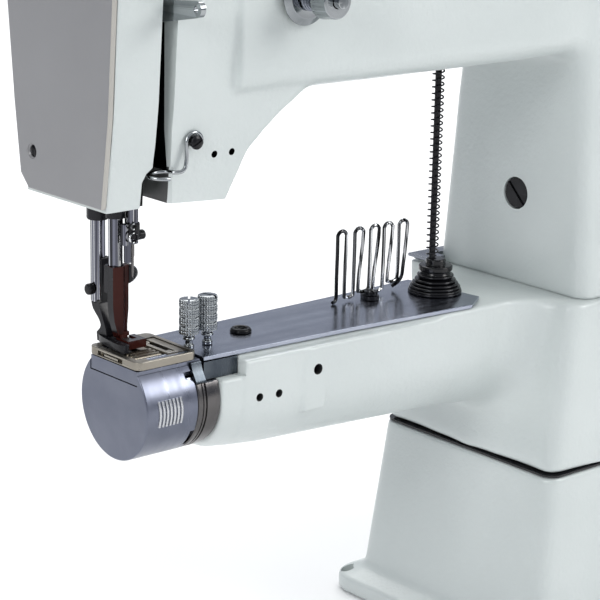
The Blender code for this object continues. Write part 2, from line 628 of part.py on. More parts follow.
def make_walking_foot():
    x, y = WALKING_BAR
    bar = part("walking_bar", rod(3.5, 55, 212, (x, y, 0), steps=20, chamfer=0.4), "chrome", (x, y, 55))
    bush = part("walking_bush", tube(4.9, 3.8, 91.4, 115, (x, y, 0), steps=20), "black_steel")
    foot = part("inner_foot", block((5.6, 14.2), (6.6, 15.4), (50, 65.5), 0.8), "brown_steel")
    fuse(foot, block((7.0, 13.2), (7.8, 14.0), (30.1, 52), 0.5))
    fuse(foot, block((9.0, 16.4), (9.2, 14.0), (30.15, 33.4), 0.3), block((12.9, 26.5), (8.9, 18.3), (26.2, 30.4), 0.4))
    cut(foot, rod(4.2, 45, 70, (*NEEDLE, 0), steps=24))
    cut(foot, rod(3.8, 54.7, 70, (x, y, 0), steps=20))
    screw_profile = [(0, 2.6), (3.6, 2.6), (4.2, 3.2), (4.2, 6.6), (3.4, 7.2), (0, 7.2)]
    screw = part("inner_foot_screw", turned(screw_profile, (8.0, 0, 62.0), "-y", 12), "black_steel")
    fuse(screw, rod(1.5, -6.3, 4.0, (8.0, 0, 62.0), "-y", 12))
    smooth(bar, bush, screw, foot)


def make_needle_bar():
    x, y = NEEDLE
    bar = part("needle_bar", rod(2.8, 77, 214, (x, y, 0), steps=20, chamfer=0.4), "chrome", (x, y, 77))
    clamp_profile = [(3.1, 77.0), (3.4, 76.2), (3.8, 77.2), (3.8, 87.0), (3.4, 87.6), (3.1, 87.6)]
    clamp = part("needle_clamp", turned(clamp_profile, (x, y, 0), steps=20), "chrome")
    knob = part("needle_clamp_screw", turned(
        [(0, 18.3), (1.3, 18.3), (1.3, 19.2), (2.2, 19.2), (2.4, 19.6), (2.4, 22.4), (2.0, 22.9), (0, 22.9)],
        (0, y, 80.5), "x", 14), "black_steel")
    point = part("needle", turned([(0, 47), (0.5, 51), (0.7, 53), (0.7, 66), (0.95, 67), (0.95, 76.6), (0, 76.6)],
                                  (x, y, 0), steps=10), "chrome")
    smooth(bar, clamp, knob, point)


def make_take_up():
    lever = part("take_up_lever", slab_x(strap((-4, 188), 6.5, (-62, 196), 3.8), 0.1, 2.9), "chrome", (0, -4, 188))
    cut(lever, rod(1.6, -5, 5, (0, -62, 196), "x", 12))
    smooth(lever)


def make_thread_guide():
    """Bent wire: an eye round its screw, a drop, a run to the left and a pigtail in front of the slot."""
    x, z = GUIDE_SCREW
    eye, face, pigtail = 4.3, -38.6, 4.9
    points = []
    for step in range(9):
        angle = math.radians(-20 + 200 * step / 8)
        points.append((x + eye * math.cos(angle), face, z + eye * math.sin(angle)))
    points += [(13.6, face, 121.2), (12.8, face, 119.0), (10.8, face, 118.0)]
    for step in range(11):
        angle = math.radians(-90 - 300 * step / 10)
        centre = (1.3, face + pigtail)
        points.append((centre[0] + pigtail * math.cos(angle), centre[1] + pigtail * math.sin(angle), 118.0 - 0.3 * step))
    smooth(wire("thread_guide", points, 0.75, "chrome"))
    slotted_screw("thread_guide_screw", (x, -39.9, z), "-y", 3.7, 1.8, 2.1, 9, "black_steel", 0.5)


def make_tension():
    centre = (75, 0, 195)
    post = part("tension_post", turned([(0, 42), (3.0, 42), (3.0, 74), (0, 74)], centre, "-y", 14), "chrome")
    dished = [(3.3, 49.0), (10, 49.0), (13, 47.4), (13.4, 47.6), (13.4, 48.2), (10.4, 50.2), (3.3, 50.2)]
    discs = part("tension_disc", turned(dished, centre, "-y", 24), "chrome")
    spring = part("tension_spring", turned([(3.4, 51), (6.4, 51), (5.4, 60), (3.4, 60)], centre, "-y", 16), "steel")
    knob = part("tension_knob", turned([(3.4, 60.5), (8.5, 60.5), (9, 61), (8, 70), (3.4, 70)], centre, "-y", 20),
                "chrome", (75, -60.5, 195))
    smooth(post, discs, spring, knob)


def make_controls():
    dial_profile = [(0, 54.6), (18, 54.6), (22, 56), (22, 60), (17, 62), (15, 70), (14, 71), (0, 71)]
    dial = part("stitch_dial", turned(dial_profile, (325, 0, 95), "-y", 32), "knob_plastic", (325, -54.6, 95))
    lever = part("reverse_lever", block((319, 331), (-69, -57.9), (39, 55), 2.0), "black_steel", (325, -61, 47))
    fuse(lever, rod(3.0, 65, 100, (325, 0, 47), "-y", 14), turned(
        [(0, 96), (5, 96), (8, 100), (8, 106), (5, 110), (0, 110)], (325, 0, 47), "-y", 18))
    arm = slab_y(strap((40, 165), 8.5, (104, 158), 6.0), 48.0, 52.5)
    lifter = part("hand_lifter", arm, "black_steel", (40, 45, 165))
    fuse(lifter, rod(7.0, -50, -45.6, (40, 0, 165), "-y", 20))
    base = part("winder_base", block((296, 340), (-38, -14), (ARM_TOP + GAP, 274), 2.0), "enamel")
    cut(base, rod(3.4, 280, 360, (0, -26, 265), "x", 14))
    spindle = turned(
        [(0, 283), (2.4, 283), (3.0, 285), (3.0, 346), (17, 346), (18, 347), (18, 353), (17, 354), (0, 354)],
        (0, -26, 265), "x", 24)
    winder = part("winder_spindle", spindle, "chrome", (283, -26, 265))
    smooth(dial, lever, lifter, base, winder)


clear_scene()
MACHINE = bpy.data.collections.new("leather_sewing_machine")
bpy.context.scene.collection.children.link(MACHINE)
make_pedestal()
make_gasket()
make_bed_casting()
make_upper_casting()
make_covers()
make_nose()
make_needle_plate()
make_hook()
make_drive()
make_cover_plate()
make_thumbscrews()
make_comb_guide()
make_lifter()
make_presser()
make_walking_foot()
make_needle_bar()
make_take_up()
make_thread_guide()
make_tension()
make_controls()
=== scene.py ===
"""Looks of the cylinder-arm leather sewing machine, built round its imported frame.

Shapes are drawn in the arm's millimetres: x runs from the hook cover's end face towards the column,
y from the arm's centre plane to the back, z up from the cylinder arm's axis. place() brings a
finished shape into the frame's metres, dresses it and lets it ride on its body.
"""

import math

import bmesh
import bpy
import numpy as np
from mathutils import Matrix, Vector


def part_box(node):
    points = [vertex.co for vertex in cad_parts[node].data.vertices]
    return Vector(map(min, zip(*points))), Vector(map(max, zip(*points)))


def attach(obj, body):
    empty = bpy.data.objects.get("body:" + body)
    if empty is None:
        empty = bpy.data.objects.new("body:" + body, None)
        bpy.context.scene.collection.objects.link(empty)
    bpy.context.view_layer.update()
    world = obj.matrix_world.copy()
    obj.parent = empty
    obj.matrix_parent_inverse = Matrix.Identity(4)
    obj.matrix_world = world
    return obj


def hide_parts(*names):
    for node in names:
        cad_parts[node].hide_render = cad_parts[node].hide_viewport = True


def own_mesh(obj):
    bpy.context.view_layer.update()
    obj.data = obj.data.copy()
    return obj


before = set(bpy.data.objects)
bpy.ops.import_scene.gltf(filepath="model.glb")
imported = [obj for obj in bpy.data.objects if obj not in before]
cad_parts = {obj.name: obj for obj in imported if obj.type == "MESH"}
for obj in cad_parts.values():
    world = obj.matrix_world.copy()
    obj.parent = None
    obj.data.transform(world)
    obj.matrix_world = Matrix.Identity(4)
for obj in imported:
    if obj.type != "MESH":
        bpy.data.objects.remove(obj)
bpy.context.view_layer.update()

# ------------------------------------------------------------- frame of reference
MM = 0.001
CAP_LOW, CAP_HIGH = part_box("end_cap")
CAP_RADIUS = 27.0
ORIGIN = Vector((CAP_LOW.x, (CAP_LOW.y + CAP_HIGH.y) / 2, CAP_LOW.z + CAP_RADIUS * MM))
TO_ROW = Matrix.Translation(ORIGIN) @ Matrix.Scale(MM, 4)


def span(node):
    """Lowest and highest corner of a CAD node in arm millimetres."""
    low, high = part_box(node)
    return (low - ORIGIN) / MM, (high - ORIGIN) / MM


def middle(node):
    low, high = span(node)
    return (low + high) / 2


# Driving dimensions of the pieces, in arm millimetres
RING_END = span("hook_ring")[1].x
PLATE_TOP = span("cover_plate")[1].z
PLATE_LOW = span("cover_plate")[0].z
FRAME_TOP = span("needle_plate")[1].z
COLUMN_FOOT = span("upper_casting")[0].z
HEAD_BOTTOM = 104.5
HEAD_LEFT = span("upper_casting")[0].x
ARM_TOP = span("upper_casting")[1].z
ARM_UNDERSIDE = 150.0
ARM_DEPTH = 45.0
COLUMN_RIGHT = span("upper_casting")[1].x - 4.0
FLOOR = span("pedestal")[0].z
SEAM = span("bed_casting")[0].z
MAIN_SHAFT_Z = middle("main_shaft").z
CORE_X = (299.0, 345.0)
CORE_HALF = 23.0
GAP = 0.3

NEEDLE = middle("needle").xy
WALKING_BAR = middle("walking_bar").xy
PRESSER_BAR = middle("outer_presser_bar").xy
LIFTER = middle("lifter_rod").xy
BELLOWS = middle("bellows").xy
PLATE_SCREW = middle("plate_screw").xy
COMB_SCREW = middle("comb_screw").xy
COLUMN_PLUG = middle("column_plug")
GUIDE_SCREW = middle("thread_guide_screw")
THUMBSCREWS = ("thumbscrew_left", "thumbscrew_right")


# ---------------------------------------------------------------------- materials
class Finish:
    """A Principled material whose nodes are laid one call at a time."""

    def __init__(self, name, roughness, metallic=0.0, **sockets):
        self.material = bpy.data.materials.new(name)
        self.material.use_nodes = True
        self.nodes = self.material.node_tree.nodes
        self.links = self.material.node_tree.links
        self.shader = self.nodes["Principled BSDF"]
        self.where = self.nodes.new("ShaderNodeTexCoord").outputs["Object"]
        self.relief = None
        self.shader.inputs["Roughness"].default_value = roughness
        self.shader.inputs["Metallic"].default_value = metallic
        for socket, value in sockets.items():
            self.shader.inputs[socket.replace("_", " ")].default_value = value

    def noise(self, scale, detail=2.0, stretch=(1, 1, 1), rough=0.5):
        mapping = self.nodes.new("ShaderNodeMapping")
        mapping.inputs["Scale"].default_value = stretch
        self.links.new(self.where, mapping.inputs["Vector"])
        noise = self.nodes.new("ShaderNodeTexNoise")
        noise.inputs["Scale"].default_value = scale
        noise.inputs["Detail"].default_value = detail
        noise.inputs["Roughness"].default_value = rough
        self.links.new(mapping.outputs["Vector"], noise.inputs["Vector"])
        return noise.outputs["Fac"]

    def edges(self, low=0.505, high=0.56):
        """1 along outward edges, 0 on flats and in hollows."""
        geometry = self.nodes.new("ShaderNodeNewGeometry")
        return self.span(geometry.outputs["Pointiness"], 0.0, 1.0, low, high)

    def span(self, value, to_low, to_high, low=0.3, high=0.7):
        change = self.nodes.new("ShaderNodeMapRange")
        for socket, number in zip(("From Min", "From Max", "To Min", "To Max"),
                                  (low, high, to_low, to_high)):
            change.inputs[socket].default_value = number
        self.links.new(value, change.inputs["Value"])
        return change.outputs["Result"]

    def blend(self, factor, first, second):
        mix = self.nodes.new("ShaderNodeMix")
        mix.data_type = "RGBA"
        self.links.new(factor, mix.inputs["Factor"])
        for socket, colour in (("A", first), ("B", second)):
            target = [s for s in mix.inputs if s.name == socket and s.type == "RGBA"][0]
            if isinstance(colour, tuple):
                target.default_value = (*colour, 1.0)
            else:
                self.links.new(colour, target)
        return [s for s in mix.outputs if s.type == "RGBA"][0]

    def colour(self, value):
        self.links.new(value, self.shader.inputs["Base Color"])
        return self

    def rough(self, value, low, high):
        self.links.new(self.span(value, low, high), self.shader.inputs["Roughness"])
        return self

    def bump(self, height, millimetres, strength=1.0):
        bump = self.nodes.new("ShaderNodeBump")
        bump.inputs["Distance"].default_value = millimetres * MM
        bump.inputs["Strength"].default_value = strength
        self.links.new(height, bump.inputs["Height"])
        if self.relief:
            self.links.new(self.relief, bump.inputs["Normal"])
        self.relief = bump.outputs["Normal"]
        self.links.new(self.relief, self.shader.inputs["Normal"])
        return self


def enamel(name, low, high, peel=0.10):
    """Sprayed casting paint: orange peel over faint filler waves."""
    paint = Finish(name, 0.36, Coat_Weight=0.25, Coat_Roughness=0.14)
    tone = paint.blend(paint.span(paint.noise(14, 4), 0, 1), low, high)
    paint.colour(paint.blend(paint.edges(0.58, 0.75), tone, tuple(min(1.0, c * 1.06) for c in high)))
    paint.rough(paint.noise(90, 3), 0.30, 0.37)
    paint.bump(paint.noise(45, 1), 0.12, 0.25)
    return paint.bump(paint.noise(430, 2), peel, 0.8).bump(paint.noise(1500, 1), 0.02, 0.6).material


def metal(name, low, high, roughness, brush=(1, 1, 1), depth=0.004, wear=None, **sockets):
    """Machined metal: brushed along the axis that `brush` squeezes, with smudges in its polish."""
    steel = Finish(name, sum(roughness) / 2, 1.0, **sockets)
    lines = steel.noise(1400, 3, brush)
    tone = steel.blend(steel.span(steel.noise(60, 4), 0, 1), low, high)
    if wear:
        tone = steel.blend(steel.edges(), tone, wear)
    steel.colour(tone)
    steel.rough(steel.noise(240, 4, brush), *roughness)
    return steel.bump(lines, depth, 0.7).material


def dark(name, low, high, roughness, metallic, wear, grain=900, depth=0.012, **sockets):
    """Blackened or moulded surface whose outward edges rub lighter."""
    skin = Finish(name, sum(roughness) / 2, metallic, **sockets)
    tone = skin.blend(skin.span(skin.noise(120, 4), 0, 1), low, high)
    skin.colour(skin.blend(skin.edges(), tone, wear))
    skin.rough(skin.noise(300, 3), *roughness)
    return skin.bump(skin.noise(grain, 3), depth, 0.7).material


def polished(name, deep, middle_tone, bright, edge=0.54):
    """Ground and polished bar with painted reflections: light and dark streaks in its colour run the length
    of it, as a studio would mirror them on a shaft.
    """
    bar = Finish(name, 0.14, 1.0)
    along = (1, 1, 0.004)
    # painted reflection: broad dark and mid-tone bands along the bar
    broad_reflection = bar.blend(bar.span(bar.noise(520, 1, along), 0, 1, 0.40, 0.60), deep, middle_tone)
    # painted reflection: narrow bright streaks along the bar
    reflection_streak = bar.span(bar.noise(760, 1, along), 0, 1, edge, edge + 0.08)
    bar.colour(bar.blend(reflection_streak, broad_reflection, bright))
    bar.rough(bar.noise(240, 4, along), 0.10, 0.20)
    return bar.bump(bar.noise(1400, 3, along), 0.003, 0.7).material


ALONG_X = (0.03, 1, 1)
AROUND_X = (1, 0.03, 0.03)
FINISHES = {
    "enamel": enamel("enamel", (0.56, 0.605, 0.594), (0.605, 0.648, 0.637), 0.30),
    "plate_grey": enamel("plate_grey", (0.225, 0.225, 0.232), (0.25, 0.25, 0.257), 0.04),
    # painted highlight: light cream for the face plate's bevels, where light catches them
    "bevel_highlight_cream": enamel("bevel_highlight_cream", (0.40, 0.385, 0.35), (0.45, 0.435, 0.40), 0.04),
    "cap_steel": metal("cap_steel", (0.155, 0.168, 0.215), (0.19, 0.203, 0.25), (0.26, 0.36), AROUND_X,
                       0.006),
    "satin_steel": metal("satin_steel", (0.20, 0.215, 0.255), (0.25, 0.265, 0.30), (0.18, 0.30), AROUND_X,
                         0.005),
    "plate_steel": metal("plate_steel", (0.31, 0.335, 0.405), (0.37, 0.395, 0.465), (0.17, 0.26), ALONG_X,
                         0.003),
    "ring_steel": metal("ring_steel", (0.11, 0.105, 0.105), (0.17, 0.16, 0.16), (0.18, 0.30), AROUND_X,
                        0.006),
    "binder_steel": metal("binder_steel", (0.055, 0.066, 0.080), (0.105, 0.12, 0.135), (0.20, 0.32),
                          AROUND_X, 0.004),
    "nickel": metal("nickel", (0.20, 0.18, 0.15), (0.27, 0.245, 0.205), (0.26, 0.38), ALONG_X, 0.004,
                    (0.36, 0.335, 0.29)),
    "chrome": metal("chrome", (0.17, 0.185, 0.195), (0.30, 0.32, 0.335), (0.10, 0.18), (1, 1, 1), 0.002,
                    (0.44, 0.46, 0.47)),
    # painted highlight: light steel for the cap's ribs
    "painted_highlight_steel": metal("painted_highlight_steel", (0.52, 0.53, 0.55), (0.62, 0.63, 0.65), (0.22, 0.34), (1, 1, 1),
                          0.002),
    # bar_steel and wire_steel carry painted reflections: dark, mid and bright streaks along their length
    "bar_steel": polished("bar_steel", (0.018, 0.018, 0.022), (0.17, 0.175, 0.215), (0.78, 0.79, 0.80),
                          0.58),
    "wire_steel": polished("wire_steel", (0.012, 0.012, 0.013), (0.11, 0.113, 0.118), (0.70, 0.71, 0.72)),
    "black_steel": dark("black_steel", (0.003, 0.003, 0.004), (0.007, 0.007, 0.008), (0.16, 0.28), 0.0,
                        (0.016, 0.016, 0.019), Specular_IOR_Level=0.2),
    "brown_steel": dark("brown_steel", (0.012, 0.0022, 0.0016), (0.034, 0.006, 0.0045), (0.14, 0.26), 0.0,
                        (0.040, 0.0085, 0.006), Specular_IOR_Level=0.10),
    "rubber": dark("rubber", (0.003, 0.003, 0.004), (0.006, 0.006, 0.007), (0.12, 0.22), 0.0,
                   (0.010, 0.010, 0.012), 500, 0.015, Specular_IOR_Level=0.35),
    "knob_plastic": dark("knob_plastic", (0.008, 0.008, 0.009), (0.014, 0.014, 0.016), (0.34, 0.48), 0.0,
                         (0.025, 0.025, 0.028), 1600, 0.02, Specular_IOR_Level=0.3),
    # painted shade: near-black for hollows where no light enters
    "painted_shade_black": dark("painted_shade_black", (0.003, 0.003, 0.003), (0.006, 0.006, 0.006), (0.5, 0.7), 0.0,
                         (0.009, 0.009, 0.009), Specular_IOR_Level=0.08),
    # painted shade: dark grey for recesses the light barely reaches (slot cheek, hole walls)
    "painted_shade_grey": dark("painted_shade_grey", (0.03, 0.031, 0.031), (0.05, 0.052, 0.052), (0.40, 0.55), 0.0,
                      (0.08, 0.08, 0.08), Specular_IOR_Level=0.25),
}


# -------------------------------------------------------------------------- shapes
def solid(name, shape):
    """Object from a bmesh in arm millimetres."""
    bmesh.ops.recalc_face_normals(shape, faces=shape.faces)
    mesh = bpy.data.meshes.new(name)
    shape.to_mesh(mesh)
    shape.free()
    obj = bpy.data.objects.new(name, mesh)
    bpy.context.scene.collection.objects.link(obj)
    return obj


def bake(obj, kind, **settings):
    """Adds a modifier and applies it."""
    modifier = obj.modifiers.new(kind, kind)
    for key, value in settings.items():
        setattr(modifier, key, value)
    graph = bpy.context.evaluated_depsgraph_get()
    mesh = bpy.data.meshes.new_from_object(obj.evaluated_get(graph))
    obj.modifiers.clear()
    obj.data = mesh
    return obj


def combine(obj, shapes, operation):
    for shape in shapes:
        tool = solid("tool", shape)
        bpy.context.view_layer.update()
        bake(obj, "BOOLEAN", solver="MANIFOLD", operation=operation, object=tool)
        bpy.data.objects.remove(tool, do_unlink=True)
    return obj


def cut(obj, *shapes):
    return combine(obj, shapes, "DIFFERENCE")


def fuse(obj, *shapes):
    return combine(obj, shapes, "UNION")


def soften(obj, width=0.25, segments=2, angle=30):
    """Rounds every edge sharper than `angle`."""
    return bake(obj, "BEVEL", width=width, segments=segments, limit_method="ANGLE",
                angle_limit=math.radians(angle), miter_outer="MITER_ARC")


def place(obj, body, finish, slot, *nodes, sharp=32):
    """Brings a finished piece into the frame, dresses it and lets it ride."""
    obj.data.transform(TO_ROW)
    indices = [face.material_index for face in obj.data.polygons]
    obj.data.materials.clear()
    for used in (finish, *obj.get("finishes", [])):
        obj.data.materials.append(FINISHES[used])
    obj.data.polygons.foreach_set("material_index", indices if "finishes" in obj else [0] * len(indices))
    obj.data.shade_smooth()
    obj.data.set_sharp_from_angle(angle=math.radians(sharp))
    if len(obj.data.polygons) < 20000:
        bake(obj, "WEIGHTED_NORMAL", keep_sharp=True)
    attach(obj, body)
    if nodes:
        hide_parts(*nodes)
    return obj


def repaint(obj, finish, chosen):
    """Gives the faces that chosen(centre, normal) picks another finish; call it before place()."""
    obj["finishes"] = [*obj.get("finishes", []), finish]
    index = len(obj["finishes"])
    for face in obj.data.polygons:
        if chosen(face.center, face.normal):
            face.material_index = index


def block(x, y, z, bevel=0.0, segments=3):
    shape = bmesh.new()
    bmesh.ops.create_cube(shape, size=1.0)
    bmesh.ops.scale(shape, vec=(x[1] - x[0], y[1] - y[0], z[1] - z[0]), verts=shape.verts)
    bmesh.ops.translate(shape, vec=((x[0] + x[1]) / 2, (y[0] + y[1]) / 2, (z[0] + z[1]) / 2),
                        verts=shape.verts)
    if bevel:
        bmesh.ops.bevel(shape, geom=shape.edges[:], offset=bevel, segments=segments, profile=0.5,
                        affect="EDGES")
    return shape


def eased(points, radius, steps=3):
    """Open outline with its corners rounded."""
    points = [Vector(p) for p in points]
    made = [points[0]]
    for before, corner, after in zip(points, points[1:], points[2:]):
        back, ahead = before - corner, after - corner
        reach = min(radius, 0.45 * back.length, 0.45 * ahead.length)
        if reach < 1e-4 or back.angle(ahead) > math.radians(172):
            made.append(corner)
            continue
        start, end = corner + back.normalized() * reach, corner + ahead.normalized() * reach
        for step in range(steps + 1):
            t = step / steps
            made.append(start * (1 - t) ** 2 + corner * 2 * t * (1 - t) + end * t * t)
    return [tuple(p) for p in made + [points[-1]]]


TURNS = {"z": Matrix(), "x": Matrix.Rotation(math.pi / 2, 4, "Y"),
         "-y": Matrix.Rotation(math.pi / 2, 4, "X")}


def spun(profile, centre, axis="z", steps=72, ease=0.0):
    """Profile of (radius, distance along the axis) spun round an axis through `centre`."""
    if ease:
        profile = eased(profile, ease)
    shape = bmesh.new()
    verts = [shape.verts.new((radius, 0.0, along)) for radius, along in profile]
    for low, high in zip(verts, verts[1:]):
        shape.edges.new((low, high))
    if profile[0][0] > 0:
        shape.edges.new((verts[-1], verts[0]))
    bmesh.ops.spin(shape, geom=shape.verts[:] + shape.edges[:], cent=(0, 0, 0), axis=(0, 0, 1),
                   angle=math.tau, steps=steps, use_merge=True)
    bmesh.ops.remove_doubles(shape, verts=shape.verts, dist=1e-4)
    bmesh.ops.transform(shape, matrix=Matrix.Translation(centre) @ TURNS[axis], verts=shape.verts)
    bmesh.ops.recalc_face_normals(shape, faces=shape.faces)
    return shape


def rod(radius, low, high, centre, axis="z", steps=48, ease=0.0):
    return spun([(0, low), (radius, low), (radius, high), (0, high)], centre, axis, steps, ease)


def loft(rings, caps=True):
    shape = bmesh.new()
    rows = [[shape.verts.new(point) for point in ring] for ring in rings]
    for row, following in zip(rows, rows[1:]):
        for i in range(len(row)):
            k = (i + 1) % len(row)
            shape.faces.new((row[i], row[k], following[k], following[i]))
    if caps:
        shape.faces.new(rows[0])
        shape.faces.new(rows[-1])
    bmesh.ops.recalc_face_normals(shape, faces=shape.faces)
    return shape


def round_rectangle(x, y, radius, steps=8):
    centres = [(x[1] - radius, y[1] - radius), (x[0] + radius, y[1] - radius),
               (x[0] + radius, y[0] + radius), (x[1] - radius, y[0] + radius)]
    points = []
    for quarter, (cx, cy) in enumerate(centres):
        for step in range(steps + 1):
            angle = math.pi / 2 * (quarter + step / steps)
            points.append((cx + radius * math.cos(angle), cy + radius * math.sin(angle)))
    return points


def tower(levels, steps=8):
    """Loft through levels of (z, x pair, y pair, corner radius)."""
    return loft([[(px, py, z) for px, py in round_rectangle(x, y, r, steps)] for z, x, y, r in levels])


def slab(outline, low, high, axis="z"):
    """Outline drawn in a plane and given thickness along `axis`."""
    lift = {"z": lambda a, b, c: (a, b, c), "x": lambda a, b, c: (c, a, b), "y": lambda a, b,
            c: (a, c, b)}[axis]
    return loft([[lift(a, b, c) for a, b in outline] for c in (low, high)])


def strap(start, start_radius, end, end_radius, steps=16):
    """Belt line round two circles in a plane."""
    across = (end[0] - start[0], end[1] - start[1])
    heading = math.atan2(across[1], across[0])
    lean = math.acos((start_radius - end_radius) / math.hypot(*across))
    points = []
    for centre, radius, first, last in ((end, end_radius, heading - lean, heading + lean),
                                        (start, start_radius, heading + lean, heading - lean + math.tau)):
        for step in range(steps + 1):
            angle = first + (last - first) * step / steps
            points.append((centre[0] + radius * math.cos(angle), centre[1] + radius * math.sin(angle)))
    return points


def flow(points, steps=6, closed=False):
    """Smooth line through points (Catmull-Rom)."""
    points = [Vector(p) for p in points]
    count = len(points)
    made = []
    for i in range(count if closed else count - 1):
        p0 = points[(i - 1) % count] if closed or i else points[0]
        p1, p2 = points[i], points[(i + 1) % count]
        p3 = points[(i + 2) % count] if closed or i + 2 < count else points[-1]
        for step in range(steps):
            t = step / steps
            made.append(0.5 * (2 * p1 + (p2 - p0) * t + (2 * p0 - 5 * p1 + 4 * p2 - p3) * t * t
                               + (3 * p1 - p0 - 3 * p2 + p3) * t ** 3))
    return made if closed else made + [points[-1]]


def wire(name, points, radius, resolution=4):
    """Round wire along points, with flat caps."""
    curve = bpy.data.curves.new(name, "CURVE")
    curve.dimensions = "3D"
    curve.bevel_depth = radius
    curve.bevel_resolution = resolution
    curve.use_fill_caps = True
    spline = curve.splines.new("POLY")
    spline.points.add(len(points) - 1)
    for spline_point, point in zip(spline.points, points):
        spline_point.co = (*point, 1.0)
    source = bpy.data.objects.new(name, curve)
    bpy.context.scene.collection.objects.link(source)
    graph = bpy.context.evaluated_depsgraph_get()
    mesh = bpy.data.meshes.new_from_object(source.evaluated_get(graph))
    bpy.data.objects.remove(source, do_unlink=True)
    shape = bmesh.new()
    shape.from_mesh(mesh)
    bmesh.ops.remove_doubles(shape, verts=shape.verts, dist=1e-4)
    return solid(name, shape)


def ring_wire(name, points, radius, around=12):
    """Closed loop of round wire through points that lie in one plane facing -y."""
    shape = bmesh.new()
    centre = sum((Vector(p) for p in points), Vector()) / len(points)
    rows = []
    for point in points:
        outward = (Vector(point) - centre).normalized()
        rows.append([
            shape.verts.new(Vector(point) + radius * (outward * math.cos(math.tau * k / around)
                                                      + Vector((0, 1, 0)) * math.sin(math.tau * k / around)))
            for k in range(around)
        ])
    for i, row in enumerate(rows):
        following = rows[(i + 1) % len(rows)]
        for k in range(around):
            j = (k + 1) % around
            shape.faces.new((row[k], row[j], following[j], following[k]))
    return solid(name, shape)


def slotted(obj, centre, axis, head, reach, width, depth, turn):
    """Cuts a screwdriver slot into a head whose top is `head` from `centre` along the axis."""
    axis_turn = {"z": Matrix(), "x": Matrix.Rotation(-math.pi / 2, 4, "Y"),
                 "-y": Matrix.Rotation(math.pi / 2, 4, "X")}
    groove = block((-reach, reach), (-width / 2, width / 2), (head - depth, head + 2))
    spin = Matrix.Rotation(turn, 4, "Z")
    bmesh.ops.transform(groove, matrix=Matrix.Translation(centre) @ axis_turn[axis] @ spin,
                        verts=groove.verts)
    return cut(obj, groove)


# ------------------------------------------------------------------------ castings
def relax(obj, steps, weight=None):
    """Pulls every vertex towards its neighbours, as a foundry's fillets and filler do."""
    mesh = obj.data
    count = len(mesh.vertices)
    co = np.empty(count * 3)
    mesh.vertices.foreach_get("co", co)
    co = co.reshape(-1, 3)
    ends = np.empty(len(mesh.edges) * 2, np.int64)
    mesh.edges.foreach_get("vertices", ends)
    ends = ends.reshape(-1, 2)
    pull = np.full(count, 0.5) if weight is None else 0.5 * weight(co)
    kept = np.flatnonzero((pull[ends[:, 0]] > 1e-3) | (pull[ends[:, 1]] > 1e-3))
    a, b = ends[kept, 0], ends[kept, 1]
    degree = np.maximum(np.bincount(a, minlength=count) + np.bincount(b, minlength=count), 1)
    pull = np.where(pull > 1e-3, pull, 0.0)[:, None]
    for _ in range(steps):
        total = np.stack([np.bincount(a, co[b, k], count) + np.bincount(b, co[a, k],
                                                                        count) for k in range(3)], 1)
        co = co + pull * (total / degree[:, None] - co)
    mesh.vertices.foreach_set("co", co.ravel())
    mesh.update()


def casting(name, shapes, voxel, steps):
    """One skin over overlapping solids, with its edges eased."""
    whole = bmesh.new()
    for shape in shapes:
        bmesh.ops.recalc_face_normals(shape, faces=shape.faces)
        mesh = bpy.data.meshes.new("lump")
        shape.to_mesh(mesh)
        shape.free()
        whole.from_mesh(mesh)
        bpy.data.meshes.remove(mesh)
    obj = solid(name, whole)
    bake(obj, "REMESH", mode="VOXEL", voxel_size=voxel)
    relax(obj, steps)
    return obj


def near(point, reach, scale=(1, 1, 1)):
    """Weight that fades with distance from a point."""
    def weight(co):
        offset = (co - np.array(point)) * np.array(scale)
        return np.clip(1.4 - np.linalg.norm(offset, axis=1) / reach, 0, 1)
    return weight


def make_pedestal():
    levels = [
        (FLOOR, (214, 414), (-84, 84), 16), (FLOOR + 9, (214, 414), (-84, 84), 16),
        (FLOOR + 14, (226, 401), (-74, 74), 12), (FLOOR + 17, (228, 399), (-73, 73), 11),
        (SEAM - 1.6, (238, 391), (-66.5, 66.5), 9),
    ]
    pedestal = casting("pedestal_casting", [tower(levels)], 1.6, 3)
    cut(pedestal, block(CORE_X, (-CORE_HALF, CORE_HALF), (FLOOR + 8, SEAM + 5)))
    for x in (222.5, 405.5):
        for y in (-75, 75):
            cut(pedestal, rod(4.5, FLOOR - 1, FLOOR + 12, (x, y, 0), steps=32))
    place(pedestal, "stand", "enamel", "enamel", "pedestal")
    gasket = solid("seam_gasket", tower([(z, (238.4, 390.6), (-66.1, 66.1), 8.6) for z in (SEAM - 1.3,
                                                                                           SEAM - GAP)]))
    cut(gasket, block(CORE_X, (-CORE_HALF, CORE_HALF), (SEAM - 5, SEAM + 5)))
    place(gasket, "stand", "rubber", "rubber", "base_gasket")


def arm_section(x, half_width, top, bottom, spring=-2.0, steps=40):
    belly = []
    for step in range(steps + 1):
        angle = math.pi * step / steps
        belly.append((x, -half_width * math.cos(angle), spring - (spring - bottom) * math.sin(angle)))
    return [(x, half_width, top), (x, -half_width, top), *belly]


def trumpet(top):
    """The arm's end, swelling in a quarter circle to meet the column's leaning left face."""
    side_radius, belly_radius, lean = 26.0, 11.0, 0.2
    rings = []
    for step in range(25):
        angle = math.pi / 2 * step / 24
        along = side_radius * math.sin(angle)
        half_width = 30.6 + side_radius * (1 - math.cos(angle))
        reach = max(0.0, along - side_radius + belly_radius) / belly_radius
        drop = belly_radius * (1 - math.sqrt(max(0.0, 1 - reach * reach)))
        start = 252.8 - side_radius + along
        ring = arm_section(0, half_width, top, -41.8 - drop, -2.0 + 0.35 * drop)
        rings.append([(start + lean * z, y, z) for _, y, z in ring])
    end = [(x + 14, y, z) for x, y, z in rings[-1]]
    return loft([*rings, end])


def ledge_outline(inset):
    left, right, front, back = 253.5 + inset, 296.5 - inset, 49.0 + inset, 66.0 - inset
    corner_x, corner_y = 266.6 - inset, 58.1 + inset
    return [(left, front), (corner_x, front), (corner_x, corner_y), (right, corner_y), (right, back),
            (left, back)]


